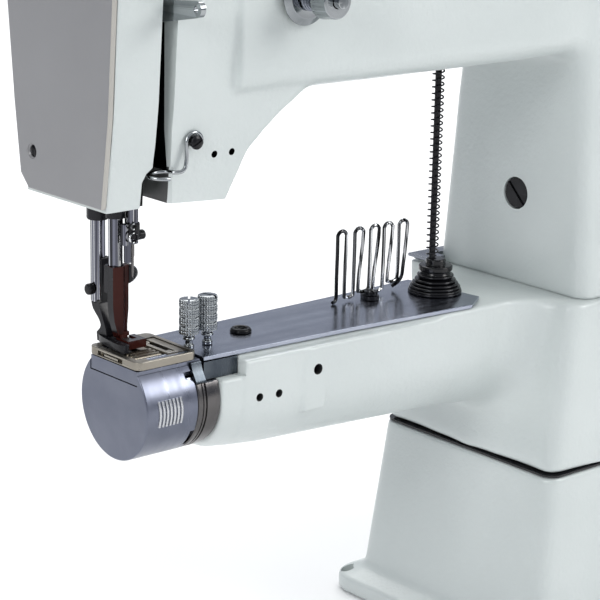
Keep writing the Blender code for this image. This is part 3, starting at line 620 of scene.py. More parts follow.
def make_bed():
    top = PLATE_LOW - GAP
    body = [(SEAM, (238, 391), (-66.5, 66.5), 9), (-30, (246, 387), (-63.5, 63.5), 9.5),
            (COLUMN_FOOT - GAP, (256, 382), (-60, 60), 10)]
    arm = solid("arm", loft([arm_section(58.4, 28.2, top, -31.5), arm_section(80, 28.8, top, -33.8),
                             arm_section(190, 30.2, top, -38.8), arm_section(280, 31.5, top, -43.0)]))
    relief = [(40, -40), (186, -40), (191, -36), (191, -31), (187, -27.6), (129, -23.4), (40, -19.8)]
    cut(arm, slab(relief, 18.0, 40))
    arm_shape = bmesh.new()
    arm_shape.from_mesh(arm.data)
    bpy.data.objects.remove(arm, do_unlink=True)
    start = RING_END + GAP
    nose = loft([arm_section(start, 26.6, 10.6, -27.0), arm_section(start + 0.8, 27.0, 10.6, -27.9),
                 arm_section(start + 3.0, 27.2, 10.6, -29.4), arm_section(start + 6.0, 27.3, 10.6, -30.5),
                 arm_section(66.0, 27.5, 10.6, -32.0)])
    arch = [(95.0, -14.5), (108.7, -14.5), (108.7, 8.2)]
    arch += [(101.85 + 6.85 * math.cos(math.pi * step / 12), 8.2 + 6.85 * math.sin(math.pi * step / 12))
             for step in range(1, 13)]
    bed = casting("bed_casting_skin", [
        tower(body), arm_shape, trumpet(top), nose, slab(arch, -29.9, -20, "y"),
        block((254, 296), (40, 65.5), (-18, 19.8), 2.0), slab(ledge_outline(0.5), 12, 22.2),
    ], 1.1, 3)
    relax(bed, 60, near((243, -58, -40), 24, (0.8, 1, 0.35)))
    relax(bed, 60, near((243, 58, -40), 24, (0.8, 1, 0.35)))
    relax(bed, 200, near((242, -30, -42), 20, (1, 0.6, 0.8)))
    relax(bed, 200, near((242, 30, -42), 20, (1, 0.6, 0.8)))
    relax(bed, 120, near((242, 0, -50), 16, (1, 0.5, 1)))
    cut(bed, block((40, 58.8), (-40, 40), (10.6, 40)),
        block((230, 400), (-80, 80), (COLUMN_FOOT - GAP, 21.4)),
        block((20, 236), (-40, 40), (top, 40)))
    cut(bed, rod(16.0, 40, CORE_X[1] - 2, (0, 0, 0), "x", 72),
        block(CORE_X, (-CORE_HALF, CORE_HALF), (SEAM - 5, 40)))
    flank_holes = ((67.0, -1.6, 2.1), (79.0, -1.8, 2.1), (103.2, 6.4, 2.8))
    for x, z, radius in flank_holes:
        cut(bed, rod(radius, 20, 40, (x, 0, z), "-y", 40))
    for (x, y), radius in ((PLATE_SCREW, 2.8), (COMB_SCREW, 2.3), (LIFTER, 3.0)):
        cut(bed, rod(radius, 10, 30, (x, y, 0), steps=32))
    for x, z, radius in flank_holes:
        # painted shade: the walls inside the flank holes are darkened
        repaint(bed, "painted_shade_grey", lambda c, n: c.y > -27.4 and math.hypot(c.x - x, c.z - z) < radius + 0.1)
    place(bed, "stand", "enamel", "enamel", "bed_casting", sharp=40)
    filler = [(COLUMN_FOOT - 0.28, (266.9, 378.1), (-57.6, 57.6), 10),
              (COLUMN_FOOT - 0.02, (266.9, 378.1), (-57.6, 57.6), 10)]
    seam = cut(solid("column_seam_filler", tower(filler)), block(CORE_X, (-CORE_HALF, CORE_HALF), (10, 40)))
    place(seam, "stand", "enamel", "enamel")


def make_upper():
    column = [(COLUMN_FOOT, (267, 378), (-57.5, 57.5), 10), (100, (268, COLUMN_RIGHT), (-51.5, 51.5), 10),
              (ARM_UNDERSIDE, (269, COLUMN_RIGHT), (-48.5, 48.5), 10),
              (ARM_TOP, (270, COLUMN_RIGHT), (-ARM_DEPTH, ARM_DEPTH), 12)]
    beam = [[(x, py, pz) for py, pz in round_rectangle((-ARM_DEPTH, ARM_DEPTH), (ARM_UNDERSIDE, ARM_TOP),
                                                       12)]
            for x in (40, 320)]
    head = [
        (99.0, (HEAD_LEFT - 2, 41.0), (-32.3, 30.6), 2), (124.0, (HEAD_LEFT - 2, 52.8), (-35.3, 33.2), 2),
        (128.0, (HEAD_LEFT - 2, 56.6), (-36.1, 34.0), 2), (132.5, (HEAD_LEFT - 2, 61.2), (-37, 35), 2),
        (140.0, (HEAD_LEFT - 2, 70.8), (-38, 36), 2), (146.0, (HEAD_LEFT - 2, 80), (-38.8, 36.8), 2),
        (ARM_UNDERSIDE + 2, (HEAD_LEFT - 2, 88), (-39.5, 37.5), 2),
        (ARM_TOP - 12, (HEAD_LEFT - 2, 88), (-ARM_DEPTH, ARM_DEPTH), 3),
        (ARM_TOP, (HEAD_LEFT + 6, 88), (-33, 33), 3),
    ]
    upper = casting("upper_casting_skin", [tower(column), loft(beam), tower(head)], 1.2, 3)
    relax(upper, 80, near((269, 0, ARM_UNDERSIDE), 26, (1, 0.35, 1)))
    relax(upper, 30, near((82, 0, ARM_UNDERSIDE), 20, (0.6, 0.3, 1)))
    chin = [(-60, 80), (90, 80), (90, 97.5), (43, HEAD_BOTTOM - 3.0), (8, HEAD_BOTTOM - 0.8),
            (-60, HEAD_BOTTOM - 1.1)]
    cut(upper, block((-60, HEAD_LEFT - 1.0), (-60, 60), (90, 260)), slab(chin, -60, 60, "y"),
        block((200, 400), (-80, 80), (0, COLUMN_FOOT)))
    cut(upper, block((-20, 21), (-14, 32), (116, 230)), block((-20, 13), (-32.0, -13), (119.0, 226)))
    slot = [(7.9, 90), (7.9, 106), (7.2, 121), (5.8, 138), (5.8, 222), (-2.9, 222), (-3.0, 122),
            (-6.2, 119.6),
            (-8.4, 115.5), (-8.9, 90)]
    cut(upper, slab(slot, -60, -12, "y"))
    chamfer = [[(2, line - 2, z), (14, line - 14, z), (14, -50, z), (2, -50, z)]
               for z, line in ((95, -21.6), (121, -26.6))]
    cut(upper, loft(chamfer))
    cut(upper, rod(20, 15, 305, (0, 0, MAIN_SHAFT_Z), "x", 72))
    cut(upper, rod(9, 300, 390, (0, 0, MAIN_SHAFT_Z), "x", 48))
    cut(upper, block(CORE_X, (-CORE_HALF, CORE_HALF), (10, 226)))
    for (x, y), radius in ((NEEDLE, 3.1), (WALKING_BAR, 5.2), (PRESSER_BAR, 5.8)):
        cut(upper, rod(radius, 95, 120, (x, y, 0), steps=48))
    cut(upper, rod(2.2, 140, 172, (*LIFTER, 0), steps=24))
    cut(upper, rod(8.9, 255, 276, (0, *COLUMN_PLUG.yz), "x", 64))
    cut(upper, rod(2.4, 28, 50, (GUIDE_SCREW.x, 0, GUIDE_SCREW.z), "-y", 24))
    for x in (32.0, 42.2):
        cut(upper, rod(1.7, 28, 42, (x, 0, 124.3), "-y", 24))
    cut(upper, rod(3.3, 40, 50, (75, 0, 195), "-y", 24))
    for node in ("face_plate_screw_low", "face_plate_screw_high"):
        _, y, z = middle(node)
        cut(upper, rod(2.4, -40, HEAD_LEFT + 9, (0, y, z), "x", 24))
    # painted shade: all faces inside the hollow head behind the slot are blackened
    repaint(upper, "painted_shade_black", lambda c,
            n: -20.1 < c.x < 21.1 and -32.1 < c.y < 32.1 and 115 < c.z < 231)
    # painted shade: the head slot's -x facing cheek below the pocket is darkened
    repaint(upper, "painted_shade_grey", lambda c,
            n: 5 < c.x < 8.2 and -33.2 < c.y < -11.5 and c.z < 121 and n.x < -0.9)
    # painted shade: the walls of the two small holes are blackened
    for x in (32.0, 42.2):
        repaint(upper, "painted_shade_black", lambda c, n: c.y > -34.6 and math.hypot(c.x - x, c.z - 124.3) < 1.8)
    place(upper, "stand", "enamel", "enamel", "upper_casting", sharp=40)
    # painted shade: a thin black sheet inside the slot, standing in for the shade there
    shade_sheet = [(-8.7, 104.7), (-8.3, 115.4), (-6.1, 119.4), (-3.2, 121.8), (-1.4, 121.8), (-4.6, 118.6),
             (-6.7, 115.0),
             (-7.1, 104.7)]
    place(solid("head_liner_strip", slab(shade_sheet, -33.0, -15, "y")), "stand", "painted_shade_black", "black_steel")


def make_covers():
    edge = [(-33.0, 105.5), (-38.5, 146), (-44, 225), (-34, 244), (34, 244), (44, 225), (36, 146),
            (31.5, 112),
            (25, 105.5)]
    face = solid("face_plate_cover", slab(edge, HEAD_LEFT - 4.3, HEAD_LEFT - 1.2, "x"))
    soften(face, 0.8, 4)
    # painted highlight: every face of the plate not facing -x (its bevels and rims) gets the light cream
    repaint(face, "bevel_highlight_cream", lambda c, n: n.x > -0.8)
    for node in ("face_plate_screw_low", "face_plate_screw_high"):
        _, y, z = middle(node)
        seat = HEAD_LEFT - 4.3
        cut(face, spun([(0, -1), (3.6, -1), (3.6, 0.2), (2.9, 0.9), (2.9, 2.0), (2.3, 2.0), (2.3, 12),
                        (0, 12)],
                       (seat, y, z), "x", 48))
        profile = [(0.0, 0.5), (1.6, 0.5), (2.7, 0.9), (2.7, 1.8), (2.1, 1.8), (2.1, 12.0), (0.0, 12.0)]
        screw = solid(node + "_detail", spun(profile, (seat, y, z), "x", 48, 0.2))
        cut(screw, block((seat - 3, seat + 1.3), (y - 0.4, y + 0.4), (z - 5, z + 5)))
        place(screw, "stand", "black_steel", "black_steel", node)
    place(face, "stand", "plate_grey", "plate_grey", "face_plate")
    top = solid("top_cover_plate", block((92, 262), (-31, 31), (ARM_TOP + GAP, ARM_TOP + 3.5), 1.2, 4))
    place(top, "stand", "enamel", "enamel", "top_cover")
    cover = spun([(9.5, 374.3), (42.0, 374.3), (42.0, 378.0), (39.0, 380.5), (16.0, 380.5), (14.0, 381.5),
                  (9.5, 381.5)], (0, 0, MAIN_SHAFT_Z), "x", 96, 0.8)
    place(solid("end_cover_disc", cover), "stand", "enamel", "enamel", "end_cover")
    ledge = solid("ledge_cover_strip", slab(ledge_outline(0.0), 22.5, 24.3))
    place(soften(ledge, 0.35), "stand", "satin_steel", "satin_steel", "ledge_cover")
    plug = solid("column_plug_screw", rod(8.4, -3.0, 4.3, COLUMN_PLUG, "x", 72, 0.5))
    slot = block((-6, -1.6), (-12, 12), (-0.8, 0.8))
    bmesh.ops.transform(slot, matrix=Matrix.Translation(COLUMN_PLUG) @ Matrix.Rotation(math.radians(45), 4,
                                                                                       "X"),
                        verts=slot.verts)
    place(cut(plug, slot), "stand", "black_steel", "black_steel", "column_plug")


# ----------------------------------------------------------------------- arm's nose
def make_cap():
    profile = [(0.0, 0.0), (CAP_RADIUS, 0.0), (CAP_RADIUS, 30.5), (25.0, 30.5), (25.0, 2.0), (0.0, 2.0)]
    cap = solid("hook_cover", spun(eased(profile, 0.9, 5), (0, 0, 0), "x", 144))
    cut(cap, block((-1, 35), (-19, 19), (13.9, 40)), block((27.6, 35), (-40, -12), (-20.5, -12.0)))
    for side in (-1, 1):
        corner = [(25.5 + 5.2 * math.sin(math.pi / 2 * step / 10),
                   8.8 + 5.2 * math.cos(math.pi / 2 * step / 10))
                  for step in range(11)] + [(33, 8.8), (33, 17), (25.5, 17)]
        low, high = sorted((side * 10, side * 40))
        cut(cap, slab(corner, low, high, "y"))
    for rib in range(7):
        x = 7.3 + 2.12 * rib
        arc = []
        for step in range(17):
            angle = math.radians(-11.5 + 27.0 * step / 16)
            bow = 0.5 * math.sin(math.pi * step / 16)
            arc.append((x + bow, -(CAP_RADIUS + 0.05) * math.cos(angle),
                        (CAP_RADIUS + 0.05) * math.sin(angle)))
        finger = wire("finger_rib", arc, 0.72, 3)
        shape = bmesh.new()
        shape.from_mesh(finger.data)
        bpy.data.objects.remove(finger, do_unlink=True)
        fuse(cap, shape)
    # painted highlight: the raised rib faces get light steel
    repaint(cap, "painted_highlight_steel", lambda c, n: math.hypot(c.y, c.z) > CAP_RADIUS + 0.12)
    sleeve = solid("hook_cover_sleeve", spun([(23.2, 20.0), (24.9, 20.0), (24.9, 30.6), (23.2, 30.6)],
                                             (0, 0, 0), "x",
                                             144))
    cut(sleeve, block((10, 35), (-30, 30), (13.6, 40)))
    place(sleeve, "cap_body", "satin_steel", "satin_steel")
    place(cap, "cap_body", "cap_steel", "satin_steel", "end_cap")


def make_nose():
    ring_profile = [
        (17, 30.8), (26.3, 30.8), (26.9, 31.3), (26.9, 33.2), (26.3, 33.4), (26.3, 33.9), (26.9, 34.1),
        (26.9, 34.9), (26.0, 35.2), (26.0, 35.8), (26.9, 36.1), (26.9, RING_END - 3.2),
        (26.0, RING_END - 2.8),
        (26.0, RING_END - 0.3), (25.6, RING_END), (17, RING_END),
    ]
    ring = solid("hook_ring_detail", spun(ring_profile, (0, 0, 0), "x", 144, 0.12))
    cut(ring, block((25, 50), (-40, 40), (10.6, 40)))
    place(ring, "stand", "ring_steel", "ring_steel", "hook_ring")
    saddle = solid("saddle_block", block((0.3, 37.3), (-18.7, 18.7), (14.3, PLATE_TOP - 0.9)))
    cut(saddle, rod(20.2, 15.6, 30.4, (0, 0, 0), "x", 96), block((11.8, 16.6), (-2, 10), (10, 30)))
    place(soften(saddle, 0.45, 3), "stand", "cap_steel", "satin_steel", "saddle")
    for side in (-1, 1):
        skirt = [(18.9, 10.9), (24.4, 10.9), (24.0, 12.2), (22.9, 14.1), (21.4, 16.4), (20.2, 20.4),
                 (18.9, 20.4)]
        cheek = solid(f"saddle_skirt_{'front' if side < 0 else 'rear'}",
                      slab([(side * y, z) for y, z in skirt], 30.9, 37.2, "x"))
        place(soften(cheek, 0.3), "stand", "binder_steel", "satin_steel")
    binder = solid("binder_bearer", block((37.6, 58.2), (-21.6, 21.6), (10.9, PLATE_LOW - GAP)))
    for node in THUMBSCREWS:
        cut(binder, rod(2.2, 13, 30, (*middle(node).xy, 0), steps=32))
    place(soften(binder, 0.4, 3), "stand", "binder_steel", "satin_steel", "binder_block")


def make_needle_frame():
    low, high = PLATE_TOP + GAP, FRAME_TOP
    skirt = PLATE_TOP - 0.6
    plate = solid("needle_plate_frame", tower([(skirt, (0.3, 35.6), (-19.3, 20.8), 3.6),
                                               (high, (0.3, 35.6), (-19.3, 20.8), 3.6)], 12))
    cut(plate, block((4.0, 21.8), (-14.0, 16.0), (15, 30)), block((24.2, 28.4), (-12, 13), (15, 30)),
        block((-2, 2.6), (-6.6, 13.4), (22.2, 24.3)))
    soften(plate, 0.35, 3)
    cut(plate, block((8.0, 33.2), (-17.9, -13.6), (high - 1.0, 30)),
        block((28.0, 33.2), (-17.9, 13.0), (high - 0.5, 30)))
    floor = solid("needle_plate_inlay", block((8.2, 33.0), (-17.7, -14.3), (high - 1.1, high - 0.6), 0.15))
    place(floor, "stand", "plate_steel", "nickel")
    for x, y in ((26.3, -9.0), (26.3, 9.5)):
        fuse(plate, spun([(0, 22.0), (1.9, 22.0), (1.9, 24.4), (1.3, 24.8), (0, 24.8)], (x, y, 0), steps=32))
    place(plate, "stand", "nickel", "nickel", "needle_plate")
    tongue = solid("needle_plate_tongue", block((1.0, 3.4), (-2.0, 9.0), (21.6, 23.4), 0.3))
    place(tongue, "stand", "nickel", "nickel")
    insert = solid("needle_plate_insert", block((4.3, 21.5), (-13.7, -12.2), (22.0, 24.9), 0.3))
    fuse(insert, block((4.3, 21.5), (14.2, 15.7), (22.0, 24.9), 0.3))
    place(insert, "stand", "satin_steel", "satin_steel")
    dog = solid("feed_dog_teeth", block((4.5, 21.3), (-10.0, 12.0), (low, 24.4), 0.25))
    for y in (-8.4, -5.2, -2.0, 8.6):
        teeth = [(5.2, 23.5), (5.2, 24.6)]
        for tooth in range(11):
            x = 5.4 + 1.38 * tooth
            teeth += [(x, 24.6), (x + 1.0, 25.3), (x + 1.25, 25.3)]
        teeth += [(20.6, 24.6), (20.6, 23.5)]
        fuse(dog, slab(teeth, y - 0.9, y + 0.9, "y"))
    cut(dog, block((12.0, 16.4), (0.2, 7.8), (15, 30)))
    place(dog, "feed", "nickel", "nickel", "feed_dog")


# ------------------------------------------------------------------------ plate top
def make_cover_plate():
    outline = [(38.6, -20.3), (129, -24.4), (210, -29.8), (225, -20), (218.5, 28.5), (40.2, 24)]
    plate = solid("cover_plate_sheet", slab(outline, PLATE_LOW, PLATE_TOP))
    soften(plate, 0.3, 2)
    for node in THUMBSCREWS:
        cut(plate, rod(2.4, 10, 30, (*middle(node).xy, 0), steps=32))
    for (x, y), radius in ((PLATE_SCREW, 2.8), (COMB_SCREW, 2.3), (LIFTER, 4.0)):
        cut(plate, rod(radius, 10, 30, (x, y, 0), steps=32))
    place(plate, "stand", "plate_steel", "satin_steel", "cover_plate")
    seat = (*PLATE_SCREW, PLATE_TOP + GAP)
    profile = [(0, 1.0), (2.9, 1.0), (3.3, 1.9), (4.4, 2.2), (5.2, 1.5), (5.5, 0.5), (5.5, 0), (2.5, 0),
               (2.5, -10),
               (0, -10)]
    screw = solid("plate_screw_dome", spun(profile, seat, "z", 72, 0.4))
    slotted(screw, seat, "z", 1.0, 2.9, 1.0, 0.7, 0.3)
    place(screw, "stand", "black_steel", "black_steel", "plate_screw")
    seat = (*COMB_SCREW, PLATE_TOP + 2.6)
    profile = [(0, 2.2), (3.6, 2.2), (3.6, 0), (2.0, 0), (2.0, -11), (0, -11)]
    screw = solid("comb_screw_head", spun(profile, seat, "z", 48, 0.5))
    slotted(screw, seat, "z", 2.2, 5, 0.9, 1.0, 1.2)
    place(screw, "stand", "black_steel", "chrome", "comb_screw")


def knurled(centre, bottom, top, radius, ridges=22, depth=0.55):
    """Band covered in raised diamonds, closed at both ends."""
    shape = bmesh.new()
    steps, rows = ridges * 6, max(4, round((top - bottom) / 0.2))
    grid = []
    for row in range(rows + 1):
        z = bottom + (top - bottom) * row / rows
        rim = min(row, rows - row)
        chamfer = 0.45 if rim == 0 else (0.12 if rim == 1 else 0.0)
        ring = []
        for step in range(steps):
            angle = math.tau * step / steps
            flute = (1 - math.cos(angle * ridges)) / 2
            notch = (1 - math.cos(math.tau * (z - bottom) / 1.35)) / 2
            reach = radius - 0.7 * depth * flute - 0.35 * depth * notch - chamfer
            ring.append(shape.verts.new((centre[0] + reach * math.cos(angle),
                                         centre[1] + reach * math.sin(angle), z)))
        grid.append(ring)
    for ring, following in zip(grid, grid[1:]):
        for step in range(steps):
            k = (step + 1) % steps
            shape.faces.new((ring[step], ring[k], following[k], following[step]))
    shape.faces.new(grid[0])
    shape.faces.new(grid[-1])
    bmesh.ops.recalc_face_normals(shape, faces=shape.faces)
    return shape


def make_thumbscrews():
    for index, node in enumerate(THUMBSCREWS):
        x, y = middle(node).xy
        foot = PLATE_TOP + GAP
        crown = span(node)[1].z
        bottom = foot + 6.9
        profile = [(0, 13.5), (1.9, 13.5), (1.9, foot), (2.6, foot), (2.6, foot + 1.6), (1.8, foot + 2.2),
                   (1.8, foot + 3.9), (3.0, foot + 4.4), (3.0, foot + 5.6), (2.2, foot + 6.0),
                   (2.2, foot + 6.6),
                   (4.1, foot + 7.0), (4.2, crown - 1.0), (0, crown - 1.0)]
        screw = solid(node + "_knurled", spun(profile, (x, y, 0), steps=64, ease=0.3))
        pitch = (crown - bottom) / 4
        for band in range(4):
            low = bottom + band * pitch + 0.25
            fuse(screw, knurled((x, y), low, low + pitch - 0.5, 5.0))
        fuse(screw, spun([(0, crown - 0.8), (4.2, crown - 0.8), (4.1, crown - 0.2), (3.4, crown),
                          (0, crown)],
                         (x, y, 0), steps=64))
        slotted(screw, (x, y, 0), "z", crown, 7, 1.1, 1.6, 0.9 + index)
        place(screw, "thumb_left" if index == 0 else "thumb_right", "chrome", "chrome", node, sharp=60)


def make_comb():
    """Five hairpin loops of one wire standing in a row, ending in feet beside the plate's middle."""
    high = span("comb_guide")[1]
    first, y, radius, wide = 153.6, 14.5, 1.0, 3.05
    top = high.z - radius
    starts = (0.0, 12.0, 23.2, 32.8, 43.6)
    leans = (0.9, 3.4, 4.0, 3.4, 3.0)
    bends = tuple(PLATE_TOP + rise for rise in (2.0, 3.6, 2.2, 5.8))
    points = [(first - 3.4, y - 0.9, PLATE_TOP + 1.1), (first - 1.4, y - 0.3, PLATE_TOP + 1.5),
              (first - 0.2, y, PLATE_TOP + 3.8)]
    for loop, (start, lean) in enumerate(zip(starts, leans)):
        left, right = first + start, first + start + 2 * wide
        foot = right - lean
        points += [(left - 0.2, y, 36), (left, y, top - 12)]
        for step in range(9):
            angle = math.pi * (1 - step / 8)
            points.append((left + wide + wide * math.cos(angle), y, top - wide + wide * math.sin(angle)))
        points += [(right - 0.25 * lean, y, top - 12), (right - 0.75 * lean, y, 36)]
        if loop < len(starts) - 1:
            following = first + starts[loop + 1] - 0.3
            half, bottom = (following - foot) / 2, bends[loop]
            for step in range(1, 8):
                angle = math.pi * (1 + step / 8)
                points.append((foot + half + half * math.cos(angle), y,
                               bottom + 2.4 + 2.4 * math.sin(angle)))
    points += [(foot - 0.2, y, 30.0), (foot - 2.0, y + 1.2, 26.4), (foot - 4.0, y + 3.4, PLATE_TOP + 2.0)]
    comb = wire("comb_wire", flow(points, 5), radius, 5)
    holder = solid("comb_holder", slab(strap(COMB_SCREW, 4.4, (first + 20.5, y), 2.6), PLATE_TOP + 0.4,
                                       PLATE_TOP + 2.3))
    cut(holder, rod(2.4, 15, 30, (*COMB_SCREW, 0), steps=32))
    place(soften(holder, 0.3), "stand", "black_steel", "chrome")
    place(comb, "stand", "wire_steel", "chrome", "comb_guide")


def make_lifter():
    foot = PLATE_TOP + GAP
    tip = span("bellows")[1].z
    top = tip - 6.2
    outer = [(14.5, foot), (14.5, foot + 1.2)]
    for radius, height in ((14.3, 1.7), (13.7, 3.3), (12.6, 4.9), (11.3, 6.8), (10.0, 9.3)):
        z = foot + height
        outer += [(radius - 1.7, z - 0.8), (radius - 0.35, z - 0.75), (radius, z - 0.1),
                  (radius - 0.35, z + 0.55),
                  (radius - 1.4, z + 0.7)]
    outer += [(8.0, top - 0.5), (9.1, top + 0.1), (9.1, top + 2.3), (8.6, top + 2.7), (5.5, top + 2.9),
              (5.4, top + 3.4), (5.4, tip - 0.6), (4.8, tip), (0, tip)]
    bellows = solid("bellows_boot", spun([(0, foot), *outer], (*BELLOWS, 0), steps=96, ease=0.45))
    cut(bellows, rod(2.1, 10, 60, (*LIFTER, 0), steps=40))
    place(bellows, "stand", "rubber", "rubber", "bellows", sharp=60)
    low, high = span("lifter_rod")
    shaft = solid("lifter_rod_detail", rod(1.7, low.z, high.z, (*LIFTER, 0), "z", 40, 0.4))
    place(shaft, "push_rod", "black_steel", "black_steel", "lifter_rod")
    low, high = span("lifter_spring")
    wire_radius, turns, per_turn = 0.44, 31, 22
    start, end = low.z + wire_radius, high.z - wire_radius
    points = []
    for i in range(turns * per_turn + 1):
        share = i / (turns * per_turn)
        height = start + (end - start) * share
        angle = math.tau * i / per_turn
        points.append((LIFTER.x + 3.0 * math.cos(angle), LIFTER.y + 3.0 * math.sin(angle), height))
    spring = wire("lifter_spring_coil", points, wire_radius, 2)
    place(spring, "push_rod", "black_steel", "black_steel", "lifter_spring", sharp=80)
    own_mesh(spring)


# ----------------------------------------------------------------------------- head
def make_presser():
    x, y = PRESSER_BAR
    low, high = span("outer_presser_bar")
    bar = solid("presser_bar_shaft", rod(3.7, low.z, high.z, (x, y, 0), "z", 64, 0.5))
    place(bar, "presser_unit", "bar_steel", "chrome", "outer_presser_bar")
    bush = solid("presser_bush", spun([(4.0, 85.5), (5.0, 85.5), (5.5, 86.3), (5.5, 115), (4.0, 115)],
                                      (x, y, 0),
                                      steps=64))
    place(bush, "stand", "black_steel", "black_steel", "outer_bush")
    front = flow([(22.8, 30.4), (20.4, 32.6), (19.6, 34.8), (21.4, 37.6), (25.8, 41.5), (27.6, 46)], 4)
    rear = flow([(21.6, 46), (17.6, 38), (15.4, 33.5), (14.4, 29.4)], 4)
    outline = [tuple(p) for p in rear] + [(13.0, 29.4), (13.0, 26.2), (22.4, 26.2)]
    outline += [tuple(p) for p in front]
    foot = solid("presser_foot", slab(outline, 6.5, 12.4, "x"))
    toe = flow([(6.4, 21.0), (3.6, 8.5), (3.0, 0.5), (3.6, -2.8), (5.3, -4.0), (7.0, -3.2), (7.6, 0.5),
                (7.6, 8.2),
                (9.2, 9.7), (12.2, 10.6), (12.2, 21.0)], 4, closed=True)
    fuse(foot, slab([tuple(p) for p in toe], 26.2, 29.7))
    fuse(foot, block((8.2, 13.8), (21.2, 29.8), (43, 67), 0.6))
    cut(foot, rod(4.0, 44.7, 80, (x, y, 0), steps=64))
    place(soften(foot, 0.35, 2, 40), "presser_unit", "black_steel", "black_steel", "outer_foot")
    profile = [(0, 1.6), (2.8, 1.6), (2.8, 4.7), (1.4, 4.7), (1.4, 5.4), (0, 5.4)]
    screw = solid("presser_foot_screw", spun(eased(profile, 1.1, 5), (0.9, 25.0, 51.5), "x", 48))
    place(screw, "presser_unit", "black_steel", "black_steel", "outer_foot_screw")


def make_walking_foot():
    x, y = WALKING_BAR
    low, high = span("walking_bar")
    bar = solid("walking_bar_shaft", rod(3.5, low.z, high.z, (x, y, 0), "z", 64, 0.5))
    place(bar, "walking_unit", "bar_steel", "chrome", "walking_bar")
    bush = solid("walking_bar_bush", spun([(3.8, 88.9), (4.9, 88.9), (4.9, 115), (3.8, 115)], (x, y, 0),
                                          steps=64))
    place(bush, "stand", "black_steel", "black_steel", "walking_bush")
    guard = solid("needle_guard_rod", rod(1.6, 82, 115, (16.3, 10.5, 0), "z", 40, 0.3))
    place(guard, "stand", "black_steel", "black_steel")
    leg = [(4.8, 65.5), (14.9, 65.5), (14.9, 44), (14.2, 36), (14.2, 30.1), (8.4, 30.1), (7.4, 33),
           (5.6, 39),
           (4.8, 46)]
    foot = solid("vibrating_foot", slab(leg, 6.7, 11.2, "y"))
    fuse(foot, block((5.6, 13.6), (9.0, 15.2), (52, 65.5)), block((8.2, 18.8), (-0.8, 8.9), (26.3, 30.4)),
         block((8.6, 12.4), (5.6, 9.0), (30.0, 32.2)))
    cut(foot, block((12.8, 15.6), (2.4, 10.5), (20, 30.9)))
    cut(foot, rod(4.2, 33, 70, (*NEEDLE, 0), steps=64))
    cut(foot, rod(3.8, 54.7, 70, (x, y, 0), steps=64))
    soften(foot, 0.3, 3, 40)
    # painted reflection: the toe's up-facing top gets reflective grey steel instead of brown
    repaint(foot, "ring_steel", lambda c, n: n.z > 0.9 and 30.2 < c.z < 30.6)
    # painted shade: the leg's rear and its side faces above the toe are blackened
    repaint(foot, "black_steel", lambda c, n: c.y > 11.3 or (abs(n.x) > 0.6 and c.z > 33))
    place(foot, "walking_unit", "brown_steel", "brown_steel", "inner_foot")
    profile = [(0, 15.3), (4.9, 15.3), (5.1, 16.0), (4.3, 18.4), (2.9, 20.6), (1.4, 21.6), (0, 21.6)]
    screw = solid("vibrating_foot_screw", spun(profile, (0, 11.2, 60.5), "x", 64, 0.6))
    cut(screw, rod(4.2, 45, 70, (*NEEDLE, 0), steps=64))
    place(screw, "walking_unit", "black_steel", "black_steel", "inner_foot_screw")


def make_needle():
    x, y = NEEDLE
    low, high = span("needle_bar")
    bar = solid("needle_bar_shaft", rod(2.8, low.z, high.z, (x, y, 0), "z", 64, 0.4))
    place(bar, "needle_unit", "bar_steel", "chrome", "needle_bar")
    profile = [(3.0, 80.0), (3.5, 79.6), (3.6, 80.2), (3.6, 86.4), (3.4, 87.0), (3.0, 87.0)]
    collar = solid("needle_clamp_collar", spun(profile, (x, y, 0), steps=64))
    place(collar, "needle_unit", "black_steel", "chrome", "needle_clamp")
    holder = solid("needle_holder_sleeve", rod(1.9, 67.8, 80.0, (11.9, 4.6, 0), "z", 48, 0.3))
    fuse(holder, block((8.4, 10.6), (2.0, 5.6), (76.5, 87.0), 0.4))
    place(holder, "needle_unit", "bar_steel", "chrome")
    for index, (height, size) in enumerate(((86.0, 1.3), (80.6, 2.3))):
        loop = [(12.0 + size * math.cos(math.tau * k / 32), 0.1, height + size * math.sin(math.tau * k / 32))
                for k in range(32)]
        place(ring_wire(f"needle_thread_loop_{index + 1}", loop, 0.5), "needle_unit", "wire_steel", "chrome")
    profile = [(0, 18.3), (1.3, 18.3), (1.3, 19.2), (2.2, 19.2), (2.4, 19.6), (2.4, 22.4), (2.0, 22.9),
               (0, 22.9)]
    place(solid("needle_clamp_knob", spun(profile, (-2.2, y, 80.5), "x", 48, 0.3)), "needle_unit",
          "black_steel",
          "black_steel", "needle_clamp_screw")
    profile = [(0, 58), (0.5, 61), (0.7, 63), (0.7, 70), (0.95, 71), (0.95, 76.6), (0, 76.6)]
    place(solid("needle_detail", spun(profile, (x, y, 0), steps=32)), "needle_unit", "ring_steel", "chrome",
          "needle")


def make_take_up():
    lever = solid("take_up_arm", slab(strap((-4, 188), 6.5, (-62, 196), 3.8), 0.1, 2.9, "x"))
    cut(lever, rod(1.6, -5, 5, (0, -62, 196), "x", 32))
    place(soften(lever, 0.5, 3), "take_up", "chrome", "chrome", "take_up_lever")


